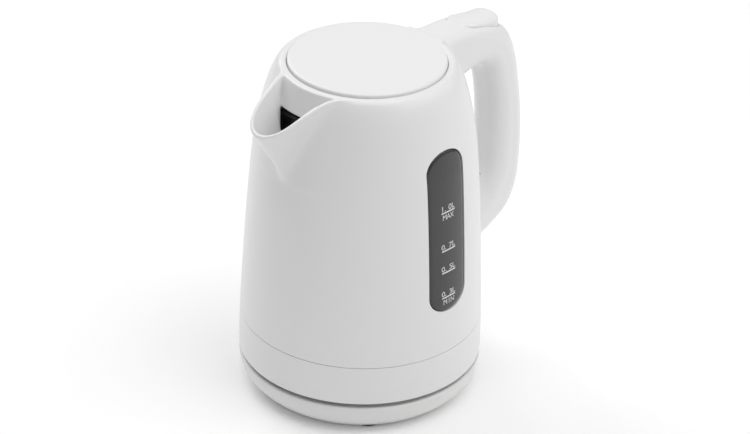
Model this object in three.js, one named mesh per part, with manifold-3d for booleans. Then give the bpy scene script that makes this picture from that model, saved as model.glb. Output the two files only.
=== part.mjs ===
// Electric kettle standing on its round power base. Millimetres, +Z up.
// The pouring beak points to -Y, the handle to +Y and the water-level window to +X.
// The origin lies on the kettle's axis, on the table.
import * as THREE from "three";
import { mergeVertices } from "three/addons/utils/BufferGeometryUtils.js";
import { ConvexGeometry } from "three/addons/geometries/ConvexGeometry.js";
import Module from "manifold-3d";

const wasm = await Module();
wasm.setup();

// ---------------------------------------------------------------- driving dimensions

const GAP = 0.3;                 // play left between neighbouring pieces
const LARGE_FACETS = 36;         // facets round the jug and the base
const MEDIUM_FACETS = 24;
const SMALL_FACETS = 10;
const MERGE_DISTANCE = 1e-4;
const FAR = 250;                 // past every face, for cutting blocks

// jug wall: outer profile in two Bezier arcs, from the bottom edge to the top ring
const JUG_RADIUS = 70;
const JUG_BOTTOM = 21;
const JUG_TOP = 202;
const SHOULDER = new THREE.Vector2(63, 152);
const TOP_EDGE_RADIUS = 47;
const LOWER_ARC = new THREE.CubicBezierCurve(
  new THREE.Vector2(JUG_RADIUS, JUG_BOTTOM),
  new THREE.Vector2(70.2, 42.6),
  new THREE.Vector2(66.6, 116.5),
  SHOULDER,
);
const UPPER_ARC = new THREE.CubicBezierCurve(
  SHOULDER,
  new THREE.Vector2(61.9, 162.7),
  new THREE.Vector2(54.8, JUG_TOP),
  new THREE.Vector2(TOP_EDGE_RADIUS, JUG_TOP),
);
const WALL = 2.5;
const SEAM_HEIGHT = 45;          // seam between the jug wall and its lower collar
const NECK_RADIUS = 45;          // opening that the lid sits in
const NECK_OUTER = 48.2;
const NECK_BOTTOM = 184;
const WEIR_RADIUS = 54.2;        // lower edge of the sloped panel between the neck and the beak
const WEIR_BOTTOM = 186.7;
const WEIR_HALF_WIDTH = 24;

// heater pack under the water
const PLATE_LEDGE = [58, 60];    // ledge inside the wall that the plate is pressed against
const PLATE_LEDGE_RADIUS = 62.5;
const PLATE_RADIUS = 66.1;
const PLATE_LOW = 55.2;
const PLATE_HIGH = 56.4;

// pouring beak: plan outline is an ellipse with two straight sides that run back to the jug
const BEAK_RIM_START = 48;       // distance from the axis where the rim starts to fall
const BEAK_RIM_DROP = 16;
const BEAK_RIM_LENGTH = 36;
const BEAK_OUTER = { centre: 66, length: 17.7, halfWidth: 15.6, rootHalfWidth: 20.9, keel: [62.5, 149] };
const BEAK_INNER = { centre: 64, length: 17.8, halfWidth: 14.4, rootHalfWidth: 17.9, keel: [56.5, 154] };

// water-level window
const WINDOW_LOW = 71.3;
const WINDOW_HIGH = 169.8;
const WINDOW_HALF_WIDTH = 14.4;
const WINDOW_END = 11.5;           // height of each elliptical end

// handle: an arch of constant width, in the plane of the axis
const HANDLE_WIDTH = 26;
const HANDLE_ROUNDING = 9;
const HANDLE_WALL = 2.4;
const GRIP_COVER_HALF_WIDTH = 7.5;
const GRIP_COVER_DEPTH = 2.2;
const GRIP_SCREW = { y: 97, z: 92 };

// lid
const LID_RADIUS = 44.4;
const LID_EDGE_TOP = 203.7;
const LID_CENTRE_TOP = 204.3;
const HINGE_Y = 45.9;
const HINGE_Z = 200.3;
const HINGE_HALF_LENGTH = 12;
const HINGE_PIN_RADIUS = 1;      // also of the switch pin
const PIN_HOLE_RADIUS = 1.3;

// release button on the handle and the latch that it draws back
const BUTTON_FRONT = 68;
const BUTTON_BACK = 102.7;
const BUTTON_HALF_WIDTH = 9.6;
const LATCH_LOW = 178;
const LATCH_HIGH = 182.5;
const LATCH_HALF_WIDTH = 4;

// power base
const BASE_TOP = 18.3;
const BASE_BOTTOM = 1.4;
const BASE_TOP_RADIUS = 69.8;
const BASE_BOTTOM_RADIUS = 60.8;
const BASE_BULGE_POWER = 2.4;    // how full the curved side is
const BASE_WALL = 2.2;
const DECK_GROOVE = [60, 66.5];  // shallow groove inside the rim of the deck
const DECK_GROOVE_DEPTH = 1;
const FOOT_CIRCLE = 53;
const FOOT_RADIUS = 5;           // of the plug in the base's pocket
const FOOT_PAD_RADIUS = 7.2;     // of the pad on the table
const FOOT_PAD_HEIGHT = 1.1;
const FOOT_START_DEGREES = -40;  // first foot, counted from +X towards +Y
const BASE_SCREW_CIRCLE = 40;

// round 360 degree connector
const SOCKET_RADIUS = 21;
const SOCKET_TOP = 24;
const PIN_RADIUS = 2.4;
const CONTACT_RING = [9.5, 10.5];
const SLOT_FLOOR = 10;
const PIN_TIP = 12;

// rocker switch under the handle
const SWITCH_Y = 63;
const SWITCH_Z = 34;
const SWITCH_HALF_WIDTH = 8;

// ---------------------------------------------------------------- materials

function material(color, roughness, metalness = 0, opacity = 1) {
  return new THREE.MeshStandardMaterial({ color, roughness, metalness, opacity, transparent: opacity < 1 });
}

const WHITE_PLASTIC = material(0xf1f1f0, 0.25);
const BASE_PLASTIC = material(0xececeb, 0.4);
const BLACK_PLASTIC = material(0x1c1c1d, 0.5);
const SMOKED_PLASTIC = material(0x3d3f40, 0.15, 0, 0.8);
const RUBBER = material(0x3a3a3b, 0.85);
const SILICONE = material(0xd9d9d6, 0.6);
const STEEL = material(0xb9bbbd, 0.3, 1);
const ALUMINIUM = material(0xc6c8ca, 0.45, 1);
const BRASS = material(0xc9a24a, 0.35, 1);
const MESH_STEEL = material(0x55575a, 0.5, 1);
const AMBER_LENS = material(0xd8742a, 0.2, 0, 0.8);

// ---------------------------------------------------------------- solids

// A closed three.js geometry as a solid, with its faces turned outward.
function solid(geometry) {
  const plain = geometry.clone();
  plain.deleteAttribute("normal");
  plain.deleteAttribute("uv");
  const merged = mergeVertices(plain, MERGE_DISTANCE);
  const corners = merged.index.array;
  const kept = [];
  for (let i = 0; i < corners.length; i += 3) {
    const [a, b, c] = corners.slice(i, i + 3);
    if (a !== b && b !== c && c !== a) kept.push([a, b, c]);
  }
  const build = (triangles) => new wasm.Manifold(new wasm.Mesh({
    numProp: 3,
    vertProperties: new Float32Array(merged.attributes.position.array),
    triVerts: new Uint32Array(triangles.flat()),
  }));
  const shape = build(kept);
  return shape.volume() > 0 ? shape : build(kept.map(([a, b, c]) => [a, c, b]));
}

// A profile of [radius, height] pairs turned round the Z axis.
function turned(profile, facets = LARGE_FACETS) {
  const points = profile.map(([radius, height]) => new THREE.Vector2(radius, height));
  return solid(new THREE.LatheGeometry(points, facets).rotateX(Math.PI / 2));
}

function disc(radius, low, high, facets = LARGE_FACETS) {
  return turned([[0, low], [radius, low], [radius, high], [0, high]], facets);
}

function ring(inner, outer, low, high, facets = LARGE_FACETS) {
  return turned([[inner, low], [outer, low], [outer, high], [inner, high], [inner, low]], facets);
}

function block(xRange, yRange, zRange) {
  const [width, depth, height] = [xRange, yRange, zRange].map(([low, high]) => high - low);
  const [x, y, z] = [xRange, yRange, zRange].map(([low, high]) => (low + high) / 2);
  return solid(new THREE.BoxGeometry(width, depth, height).translate(x, y, z));
}

// A round bar along X.
function barAlongX(radius, [low, high], y, z, facets = SMALL_FACETS) {
  const bar = new THREE.CylinderGeometry(radius, radius, high - low, facets).rotateZ(Math.PI / 2);
  return solid(bar.translate((low + high) / 2, y, z));
}

// A round bar along Y.
function barAlongY(radius, x, [low, high], z, facets = SMALL_FACETS) {
  const bar = new THREE.CylinderGeometry(radius, radius, high - low, facets);
  return solid(bar.translate(x, (low + high) / 2, z));
}

// A plan outline (x, y) raised from low to high.
function raised(outline, low, high) {
  const options = { depth: high - low, bevelEnabled: false };
  return solid(new THREE.ExtrudeGeometry(outline, options).translate(0, 0, low));
}

// A side outline drawn in (y, z) and made thick along X, from low to high.
const SIDE_VIEW = new THREE.Matrix4().makeBasis(
  new THREE.Vector3(0, 1, 0),
  new THREE.Vector3(0, 0, 1),
  new THREE.Vector3(1, 0, 0),
);

function sideways(outline, low, high, options = { bevelEnabled: false }) {
  const geometry = new THREE.ExtrudeGeometry(outline, { depth: high - low, ...options });
  return solid(geometry.translate(0, 0, low).applyMatrix4(SIDE_VIEW));
}

function moved(shape, x, y, z = 0) {
  return shape.translate([x, y, z]);
}

function around(radius, degrees) {
  const angle = THREE.MathUtils.degToRad(degrees);
  return [radius * Math.cos(angle), radius * Math.sin(angle)];
}

function joined(shapes) {
  return shapes.reduce((whole, shape) => whole.add(shape));
}

// Copies of a shape on a circle round the Z axis, as one solid.
function copied(shape, radius, angles) {
  return joined(angles.map((degrees) => moved(shape, ...around(radius, degrees))));
}

// A group whose own origin lies at a point of the kettle, so that a moving group turns about its origin.
function group(name, parent, origin = [0, 0, 0]) {
  const created = new THREE.Group();
  created.name = name;
  created.userData.origin = origin;
  if (parent) {
    created.position.set(...origin.map((value, axis) => value - parent.userData.origin[axis]));
    parent.add(created);
  }
  return created;
}

const kettle = group("kettle");
const powerBase = group("power_base_parts", kettle);
const jug = group("jug_parts", kettle);
const lid = group("lid_parts", jug, [0, HINGE_Y, HINGE_Z]);
const release = group("release_parts", jug);
const rockerSwitch = group("switch_parts", jug, [0, SWITCH_Y, SWITCH_Z]);

function add(parent, name, shape, look) {
  const local = shape.translate(parent.userData.origin.map((value) => -value));
  const { vertProperties, triVerts } = local.getMesh();
  const geometry = new THREE.BufferGeometry();
  geometry.setAttribute("position", new THREE.BufferAttribute(new Float32Array(vertProperties), 3));
  geometry.setIndex(new THREE.BufferAttribute(new Uint32Array(triVerts), 1));
  geometry.computeVertexNormals();
  const mesh = new THREE.Mesh(geometry, look);
  mesh.name = name;
  parent.add(mesh);
}

// ---------------------------------------------------------------- jug wall

// The whole jug as one turned solid, its wall moved inward by inset.
function jugSolid(inset, arcSteps = 6) {
  const points = [];
  for (const arc of [LOWER_ARC, UPPER_ARC]) {
    for (let i = arc === UPPER_ARC ? 1 : 0; i <= arcSteps; i += 1) {
      const place = arc.getPoint(i / arcSteps);
      const along = arc.getTangent(i / arcSteps);
      points.push([place.x - along.y * inset, place.y + along.x * inset]);
    }
  }
  const low = points[0][1];
  const high = points[points.length - 1][1];
  return turned([[0, low], ...points, [0, high]]);
}

function beakRimHeight(distance) {
  const run = Math.max(0, distance - BEAK_RIM_START) / BEAK_RIM_LENGTH;
  return JUG_TOP - BEAK_RIM_DROP * run ** 1.5;
}

// The beak as the convex hull of its rim, its keel and a root inside the jug.
function beakSolid({ centre, length, halfWidth, rootHalfWidth, keel }, rise, root) {
  const points = [];
  const rimSteps = 12;
  for (let i = 0; i <= rimSteps; i += 1) {
    const angle = (Math.PI * i) / rimSteps;
    const distance = centre + length * Math.sin(angle);
    const x = halfWidth * Math.cos(angle);
    points.push(new THREE.Vector3(x, -distance, beakRimHeight(distance) + rise));
    if (rise > 0) points.push(new THREE.Vector3(x, -distance, beakRimHeight(distance) - 1));
  }
  for (const side of [-1, 1]) {
    points.push(new THREE.Vector3(side * rootHalfWidth, -46, JUG_TOP + rise));
    points.push(new THREE.Vector3(side * rootHalfWidth, -root, JUG_TOP + rise));
    points.push(new THREE.Vector3(side, -keel[0], keel[1]));
    points.push(new THREE.Vector3(side, -root, keel[1]));
  }
  return solid(new ConvexGeometry(points));
}

// A capsule in side view: straight edges and elliptical ends, grown by an offset.
function windowOutline(offset) {
  const half = WINDOW_HALF_WIDTH + offset;
  const end = WINDOW_END + offset;
  const outline = new THREE.Shape();
  outline.absellipse(0, WINDOW_HIGH - WINDOW_END, half, end, 0, Math.PI, false, 0);
  outline.absellipse(0, WINDOW_LOW + WINDOW_END, half, end, Math.PI, 2 * Math.PI, false, 0);
  return outline;
}

function windowCutter(offset, [near, far] = [50, 80]) {
  return sideways(windowOutline(offset), near, far, { bevelEnabled: false, curveSegments: 6 });
}

// The band of the jug wall between two insets, at the window only.
function windowBand(outerInset, innerInset, offset) {
  return jugSolid(outerInset).subtract(jugSolid(innerInset)).intersect(windowCutter(offset));
}

function hingePocket() {
  const halfLength = HINGE_HALF_LENGTH + 1.2;
  const round = barAlongX(2.5, [-halfLength, halfLength], HINGE_Y, HINGE_Z);
  const throat = block([-halfLength, halfLength], [HINGE_Y - 2.5, HINGE_Y + 2.5], [HINGE_Z, JUG_TOP + 2]);
  const front = block([-halfLength, halfLength], [HINGE_Y - 3, HINGE_Y], [HINGE_Z - 2.5, JUG_TOP + 2]);
  return joined([round, throat, front]);
}

function latchPassage() {
  const half = LATCH_HALF_WIDTH + GAP;
  return block([-half, half], [46, 70], [LATCH_LOW - GAP, LATCH_HIGH + GAP]);
}

function bodyShell() {
  const neck = ring(NECK_RADIUS, NECK_OUTER, NECK_BOTTOM, JUG_TOP - WALL / 2);
  const ledge = ring(PLATE_LEDGE_RADIUS, JUG_RADIUS - 1.5, ...PLATE_LEDGE);
  const weir = turned([[0, WEIR_BOTTOM], [WEIR_RADIUS, WEIR_BOTTOM], [NECK_OUTER, JUG_TOP], [0, JUG_TOP]]);
  const weirFront = weir.intersect(block([-WEIR_HALF_WIDTH, WEIR_HALF_WIDTH], [-FAR, -38], [0, FAR]));
  const water = jugSolid(WALL).subtract(joined([neck, ledge, weirFront]));
  const neckFull = disc(NECK_OUTER, NECK_BOTTOM, JUG_TOP + 20);
  const pocket = beakSolid(BEAK_INNER, 8, 44).subtract(neckFull.add(weir));
  const below = block([-FAR, FAR], [-FAR, FAR], [0, SEAM_HEIGHT + GAP / 2]);
  const lidOpening = disc(NECK_RADIUS, NECK_BOTTOM - 1, JUG_TOP + 10);
  const pinReach = HINGE_HALF_LENGTH + 3.3;
  const pinHoles = barAlongX(PIN_HOLE_RADIUS, [-pinReach, pinReach], HINGE_Y, HINGE_Z);
  return jugSolid(0)
    .add(beakSolid(BEAK_OUTER, 0, 40))
    .subtract(joined([water, below]))
    .subtract(pocket)
    .subtract(lidOpening)
    .subtract(windowCutter(0))
    .subtract(joined([hingePocket(), pinHoles]))
    .subtract(latchPassage());
}

function lowerCollar() {
  const band = block([-FAR, FAR], [-FAR, FAR], [JUG_BOTTOM - 1, SEAM_HEIGHT - GAP / 2]);
  const inside = disc(JUG_RADIUS - WALL, JUG_BOTTOM - 1, SEAM_HEIGHT + 1);
  const half = SWITCH_HALF_WIDTH + 0.8;
  const slot = block([-half, half], [50, 80], [SWITCH_Z - 8.5, SWITCH_Z + 5]);
  return jugSolid(0).intersect(band).subtract(inside).subtract(slot);
}

add(jug, "body_shell", bodyShell(), WHITE_PLASTIC);
add(jug, "lower_collar", lowerCollar(), WHITE_PLASTIC);

// window pane with a flange inside the wall, and the gasket squeezed between flange and wall
const pane = windowBand(0, 4.4, -GAP);
const flange = windowBand(3.6, 4.4, 3);
const gasketBand = windowBand(WALL + GAP, 3.3, 3);
add(jug, "level_window", pane.add(flange), SMOKED_PLASTIC);
add(jug, "window_gasket", gasketBand.subtract(windowCutter(0.4)), SILICONE);

// ---------------------------------------------------------------- heater pack

add(jug, "plate_seal", ring(62.8, 66.2, PLATE_HIGH + GAP, PLATE_LEDGE[0] - GAP), SILICONE);
const plateDish = [
  [0, PLATE_LOW], [PLATE_RADIUS, PLATE_LOW], [PLATE_RADIUS, PLATE_HIGH],
  [60.5, PLATE_HIGH], [58, PLATE_HIGH + 1], [0, PLATE_HIGH + 1],
];
add(jug, "heating_plate", turned(plateDish), STEEL);
add(jug, "heat_spreader", disc(48, PLATE_LOW - 1.8, PLATE_LOW - GAP, MEDIUM_FACETS), ALUMINIUM);

// clamp ring that presses the plate up, with three bosses for the bottom screws
const BOSS_CIRCLE = 62;
const BOSS_ANGLES = [30, 150, 270];
const CLAMP_TOP = PLATE_LOW - GAP;
const clampRing = ring(56.5, 66, CLAMP_TOP - 2.4, CLAMP_TOP);
const BOSS_RADIUS = 3.4;
const BOSS_BOTTOM = 24;
const BOSS_HOLE_RADIUS = 1.6;
const BOSS_HOLE_TOP = 36;
const boss = disc(BOSS_RADIUS, BOSS_BOTTOM, CLAMP_TOP - 1, SMALL_FACETS);
const bossHole = disc(BOSS_HOLE_RADIUS, BOSS_BOTTOM - 4, BOSS_HOLE_TOP, SMALL_FACETS);
const bosses = copied(boss, BOSS_CIRCLE, BOSS_ANGLES);
const bossHoles = copied(bossHole, BOSS_CIRCLE, BOSS_ANGLES);
add(jug, "plate_clamp", clampRing.add(bosses).subtract(bossHoles), BLACK_PLASTIC);

// tubular element: an open ring pressed to the spreader
const ELEMENT_CIRCLE = 36;
const ELEMENT_RADIUS = 3.1;
const ELEMENT_HEIGHT = PLATE_LOW - 1.8 - GAP - ELEMENT_RADIUS;
const ELEMENT_GAP_DEGREES = 50;

class RingArc extends THREE.Curve {
  getPoint(t, target = new THREE.Vector3()) {
    const degrees = 90 + ELEMENT_GAP_DEGREES / 2 + t * (360 - ELEMENT_GAP_DEGREES);
    const [x, y] = around(ELEMENT_CIRCLE, degrees);
    return target.set(x, y, ELEMENT_HEIGHT);
  }
}

const tubeSection = new THREE.Shape().absarc(0, 0, ELEMENT_RADIUS, 0, 2 * Math.PI);
const elementOptions = { steps: 24, curveSegments: 4, extrudePath: new RingArc() };
add(jug, "heating_element", solid(new THREE.ExtrudeGeometry(tubeSection, elementOptions)), STEEL);

// control block over the connector, with two dry-boil discs on top of it
const CONTROL_LOW = 33;
const CONTROL_HIGH = 45;
const controlFlat = block([-18, 18], [12, 30], [CONTROL_LOW + 3, CONTROL_HIGH]);
add(jug, "control_block", disc(23, CONTROL_LOW, CONTROL_HIGH, MEDIUM_FACETS).add(controlFlat), BLACK_PLASTIC);
for (const [name, x] of [["dry_boil_disc_left", -11], ["dry_boil_disc_right", 11]]) {
  add(jug, name, moved(disc(8, CONTROL_HIGH + GAP, CONTROL_HIGH + GAP + 0.8, SMALL_FACETS), x, 0), BRASS);
}
for (const [name, side] of [["element_terminal_left", -1], ["element_terminal_right", 1]]) {
  const [x, y] = around(ELEMENT_CIRCLE, 90 - side * (ELEMENT_GAP_DEGREES / 2 - 5));
  add(jug, name, block([x - 2, x + 2], [y - 1.5, y + 1.5], [36, ELEMENT_HEIGHT + 2]), BRASS);
}

// steam tube inside the rear wall
add(jug, "steam_tube", moved(ring(2.3, 3.5, 60.5, 176, SMALL_FACETS), 14, 49.3), WHITE_PLASTIC);

// bottom cover with the foot ring that stands on the base
const COVER_LOW = JUG_BOTTOM + GAP;
const COVER_HIGH = COVER_LOW + 2;
const CONNECTOR_RADIUS = 24;
const bottomCover = joined([
  ring(CONNECTOR_RADIUS + GAP, JUG_RADIUS - WALL - GAP, COVER_LOW, COVER_HIGH),
  ring(54.5, 58, BASE_TOP + GAP, COVER_LOW + 0.5),
  ring(CONNECTOR_RADIUS + GAP, CONNECTOR_RADIUS + GAP + 2, COVER_LOW, 34),
]);
const SCREW_HOLE_RADIUS = 1.8;
const screwHoles = copied(disc(SCREW_HOLE_RADIUS, 15, 30, SMALL_FACETS), BOSS_CIRCLE, BOSS_ANGLES);
add(jug, "bottom_cover", bottomCover.subtract(screwHoles), WHITE_PLASTIC);

function screw(headRadius, headLow, headHigh, shankRadius, tip) {
  return turned([
    [0, headLow], [headRadius, headLow], [headRadius, headHigh],
    [shankRadius, headHigh], [shankRadius, tip - 1], [0, tip],
  ], SMALL_FACETS);
}

BOSS_ANGLES.forEach((degrees, i) => {
  const shape = screw(2.6, COVER_LOW - GAP - 1.2, COVER_LOW - GAP, 1.3, 34);
  add(jug, `bottom_screw_${i + 1}`, moved(shape, ...around(BOSS_CIRCLE, degrees)), STEEL);
});

// ---------------------------------------------------------------- spout filter

const FILTER_Y = [-51, -49.2];
const FILTER_HALF_WIDTH = 16;
const FILTER_HEIGHT = [152, NECK_BOTTOM - GAP];
const FILTER_BORDER = 2;
const filterFrame = block([-FILTER_HALF_WIDTH, FILTER_HALF_WIDTH], FILTER_Y, FILTER_HEIGHT);
const filterWindow = block(
  [-FILTER_HALF_WIDTH + FILTER_BORDER, FILTER_HALF_WIDTH - FILTER_BORDER],
  [FILTER_Y[0] - 1, FILTER_Y[1] + 1],
  [FILTER_HEIGHT[0] + FILTER_BORDER, FILTER_HEIGHT[1] - FILTER_BORDER],
);
const filterPane = block(
  [-FILTER_HALF_WIDTH + FILTER_BORDER + GAP, FILTER_HALF_WIDTH - FILTER_BORDER - GAP],
  [-50.3, -49.9],
  [FILTER_HEIGHT[0] + FILTER_BORDER + GAP, FILTER_HEIGHT[1] - FILTER_BORDER - GAP],
);
add(jug, "spout_filter_frame", filterFrame.subtract(filterWindow), BLACK_PLASTIC);
add(jug, "spout_filter_mesh", filterPane, MESH_STEEL);

// ---------------------------------------------------------------- handle

const HANDLE_OUTER_LINE = [
  [[66, 201.9]],
  [[80, 201.2], [92, 197.5], [101, 192.8]],
  [[112, 188.5], [117, 170], [120, 152]],
  [[123.5, 136.5], [125.5, 112], [124, 96]],
  [[123.8, 86], [120.5, 73.5], [111, 66]],
  [[103, 60.5], [84, 52], [62, 47.5]],
  [[50, 46]],
];
const HANDLE_INNER_LINE = [
  [[58, 71.5]],
  [[76, 76], [97.5, 80], [99.5, 103]],
  [[100.6, 120], [100, 139], [95.8, 156]],
  [[93.2, 166], [90.5, 172.8], [83, 172.6]],
  [[76, 172.4], [68, 169.5], [56, 166]],
];
const HANDLE_TOP_START = [40, 202];
const HANDLE_INNER_START = [47, 69];

function follow(outline, line) {
  for (const points of line) {
    if (points.length === 1) outline.lineTo(...points[0]);
    else outline.bezierCurveTo(...points.flat());
  }
}

function handleOutline() {
  const outline = new THREE.Shape();
  outline.moveTo(...HANDLE_TOP_START);
  follow(outline, HANDLE_OUTER_LINE);
  outline.lineTo(...HANDLE_INNER_START);
  follow(outline, HANDLE_INNER_LINE);
  outline.closePath();
  return outline;
}

// The arch with rounded long edges, its skin moved inward by inset.
function handleArch(inset) {
  const rounding = HANDLE_ROUNDING - inset;
  const flat = HANDLE_WIDTH / 2 - HANDLE_ROUNDING;
  return sideways(handleOutline(), -flat, flat, {
    curveSegments: 5,
    bevelEnabled: true,
    bevelThickness: rounding,
    bevelSize: rounding,
    bevelOffset: -HANDLE_ROUNDING,
    bevelSegments: 3,
  });
}

// A strip that follows the finger side of the arch, from just outside it to depth inside it.
function gripStrip(depth, halfWidth, [lowEnd, highEnd]) {
  const line = new THREE.Path();
  line.moveTo(...HANDLE_INNER_START);
  follow(line, HANDLE_INNER_LINE.slice(0, 4));
  const steps = 26;
  const inside = [];
  const outside = [];
  for (let i = 0; i <= steps; i += 1) {
    const t = lowEnd + ((highEnd - lowEnd) * i) / steps;
    const place = line.getPoint(t);
    const along = line.getTangent(t);
    inside.push(new THREE.Vector2(place.x + along.y * depth, place.y - along.x * depth));
    outside.push(new THREE.Vector2(place.x - along.y, place.y + along.x));
  }
  return sideways(new THREE.Shape([...inside, ...outside.reverse()]), -halfWidth, halfWidth);
}

// Plan outline of the release button: a blunt tip in front and a rounder back, grown by offset.
function buttonOutline(offset) {
  const tip = 11;
  const back = 8.5;
  const half = BUTTON_HALF_WIDTH + offset;
  const outline = new THREE.Shape();
  outline.absellipse(0, BUTTON_BACK - back, half, back + offset, 0, Math.PI, false, 0);
  outline.absellipse(0, BUTTON_FRONT + tip, half, tip + offset, Math.PI, 2 * Math.PI, false, 0);
  return outline;
}

const jugClearance = jugSolid(-GAP);
const handleHollow = handleArch(HANDLE_WALL);
const buttonWell = raised(buttonOutline(0.4), 186, 215);
const gripScrewHole = barAlongY(1.6, 0, [92, 116], GRIP_SCREW.z);
const gripScrewSeat = barAlongY(3.2, 0, [90, GRIP_SCREW.y + 1.2], GRIP_SCREW.z);
const gripScrewBoss = barAlongY(3.6, 0, [100, 122.4], GRIP_SCREW.z);
const COVER_SPAN = [0.24, 0.8];   // shares of the finger line where the grip cover starts and ends
const COVER_END_PLAY = 0.004;
const recessSpan = [COVER_SPAN[0] - COVER_END_PLAY, COVER_SPAN[1] + COVER_END_PLAY];
const gripRecess = gripStrip(GRIP_COVER_DEPTH + GAP, GRIP_COVER_HALF_WIDTH + GAP, recessSpan);

const handleSkin = handleArch(0).subtract(handleHollow);
const handleShell = handleSkin
  .add(gripScrewBoss)
  .subtract(gripScrewHole)
  .subtract(gripRecess)
  .subtract(jugClearance)
  .subtract(buttonWell)
  .subtract(hingePocket());
add(jug, "handle_shell", handleShell, WHITE_PLASTIC);

const gripCover = handleArch(0)
  .intersect(gripStrip(GRIP_COVER_DEPTH, GRIP_COVER_HALF_WIDTH, COVER_SPAN))
  .subtract(gripScrewHole)
  .subtract(gripScrewSeat);
add(jug, "handle_grip_cover", gripCover, WHITE_PLASTIC);

const gripScrew = joined([
  barAlongY(2.7, 0, [GRIP_SCREW.y, GRIP_SCREW.y + 0.9], GRIP_SCREW.z),
  barAlongY(1.2, 0, [GRIP_SCREW.y + 0.5, 114], GRIP_SCREW.z),
]);
add(jug, "handle_screw", gripScrew, STEEL);

// ---------------------------------------------------------------- release button and latch

const buttonSide = new THREE.Shape();
buttonSide.moveTo(BUTTON_FRONT - 1, 189);
buttonSide.lineTo(BUTTON_FRONT - 1, 202);
buttonSide.bezierCurveTo(80, 202, 90, 201.4, 97, 199.7);
buttonSide.bezierCurveTo(101.5, 198.6, 102.5, 196, BUTTON_BACK + 1, 191);
buttonSide.lineTo(BUTTON_BACK + 1, 189);
const buttonCap = raised(buttonOutline(0), 188, 206).intersect(sideways(buttonSide, -12, 12));
const springSeat = moved(disc(3.4, 180, 194, SMALL_FACETS), 0, 86);
add(release, "release_button", buttonCap.subtract(springSeat), WHITE_PLASTIC);

class SpringHelix extends THREE.Curve {
  constructor(radius, low, high, turns) {
    super();
    Object.assign(this, { radius, low, high, turns });
  }

  getPoint(t, target = new THREE.Vector3()) {
    const angle = 2 * Math.PI * this.turns * t;
    const height = this.low + (this.high - this.low) * t;
    return target.set(this.radius * Math.cos(angle), 86 + this.radius * Math.sin(angle), height);
  }
}

const springWire = new THREE.Shape().absarc(0, 0, 0.4, 0, 2 * Math.PI);
const springOptions = { steps: 42, curveSegments: 3, extrudePath: new SpringHelix(2.5, 176.4, 193.3, 5) };
add(release, "button_spring", solid(new THREE.ExtrudeGeometry(springWire, springOptions)), STEEL);

const SLIDER_FRONT = 43.2;
const SLIDER_BACK = 80;
const sliderWidth = [-LATCH_HALF_WIDTH, LATCH_HALF_WIDTH];
const sliderBar = block(sliderWidth, [SLIDER_FRONT, SLIDER_BACK], [LATCH_LOW, LATCH_HIGH]);
const sliderHead = block(sliderWidth, [SLIDER_BACK - 8, SLIDER_BACK], [LATCH_LOW, LATCH_HIGH + 2.5]);
const slider = sliderBar.add(sliderHead);
add(release, "latch_slider", slider, BLACK_PLASTIC);

// ---------------------------------------------------------------- lid

const LID_SKIRT_LOW = 196.5;
const lidProfile = [
  [0, 201.4], [41.8, 201.4], [41.8, LID_SKIRT_LOW], [LID_RADIUS, LID_SKIRT_LOW],
  [LID_RADIUS, LID_EDGE_TOP - 1.3],
  [LID_RADIUS - 0.4, LID_EDGE_TOP - 0.45], [LID_RADIUS - 1.4, LID_EDGE_TOP],
  [30, LID_CENTRE_TOP - 0.15], [0, LID_CENTRE_TOP],
];

// a barrel round the pin, which also closes the pocket behind the lid
const BARREL_RADIUS = 2.1;
const BARREL_SPAN = [-HINGE_HALF_LENGTH - 0.9, HINGE_HALF_LENGTH + 0.9];
const barrel = barAlongX(BARREL_RADIUS, BARREL_SPAN, HINGE_Y, HINGE_Z)
  .add(block(BARREL_SPAN, [41.9, HINGE_Y], [HINGE_Z - BARREL_RADIUS, HINGE_Z + 1.6]));
const lidPinHole = barAlongX(PIN_HOLE_RADIUS, [-20, 20], HINGE_Y, HINGE_Z);
add(lid, "lid_cap", turned(lidProfile).add(barrel).subtract(lidPinHole), WHITE_PLASTIC);

const lidPan = turned([
  [0, 186.5], [40, 186.5], [41.5, 188], [41.5, 193.8], [40.9, 193.8], [40.9, 196.2],
  [41.5, 196.2], [41.5, 201], [39.5, 201], [39.5, 188.5], [0, 188.5],
]);
add(lid, "lid_pan", lidPan, WHITE_PLASTIC);
const gasketProfile = [[41.2, 194.1], [43, 194.1], [44.3, 195.2], [43, 195.9], [41.2, 195.9], [41.2, 194.1]];
add(lid, "lid_gasket", turned(gasketProfile), SILICONE);

const HOOK_HALF_WIDTH = 3.5;
const HOOK_LOW = LATCH_LOW + 0.5;
const hookStem = block([-HOOK_HALF_WIDTH, HOOK_HALF_WIDTH], [37, 39.5], [HOOK_LOW, 186.5 - GAP]);
const hookTooth = block([-HOOK_HALF_WIDTH, HOOK_HALF_WIDTH], [37, 42.2], [HOOK_LOW, HOOK_LOW + 2.5]);
const hook = hookStem.add(hookTooth);
add(lid, "lid_catch", hook, BLACK_PLASTIC);
const hingePin = [-HINGE_HALF_LENGTH - 3, HINGE_HALF_LENGTH + 3];
add(jug, "lid_hinge_pin", barAlongX(HINGE_PIN_RADIUS, hingePin, HINGE_Y, HINGE_Z), STEEL);

// ---------------------------------------------------------------- rocker switch

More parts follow.
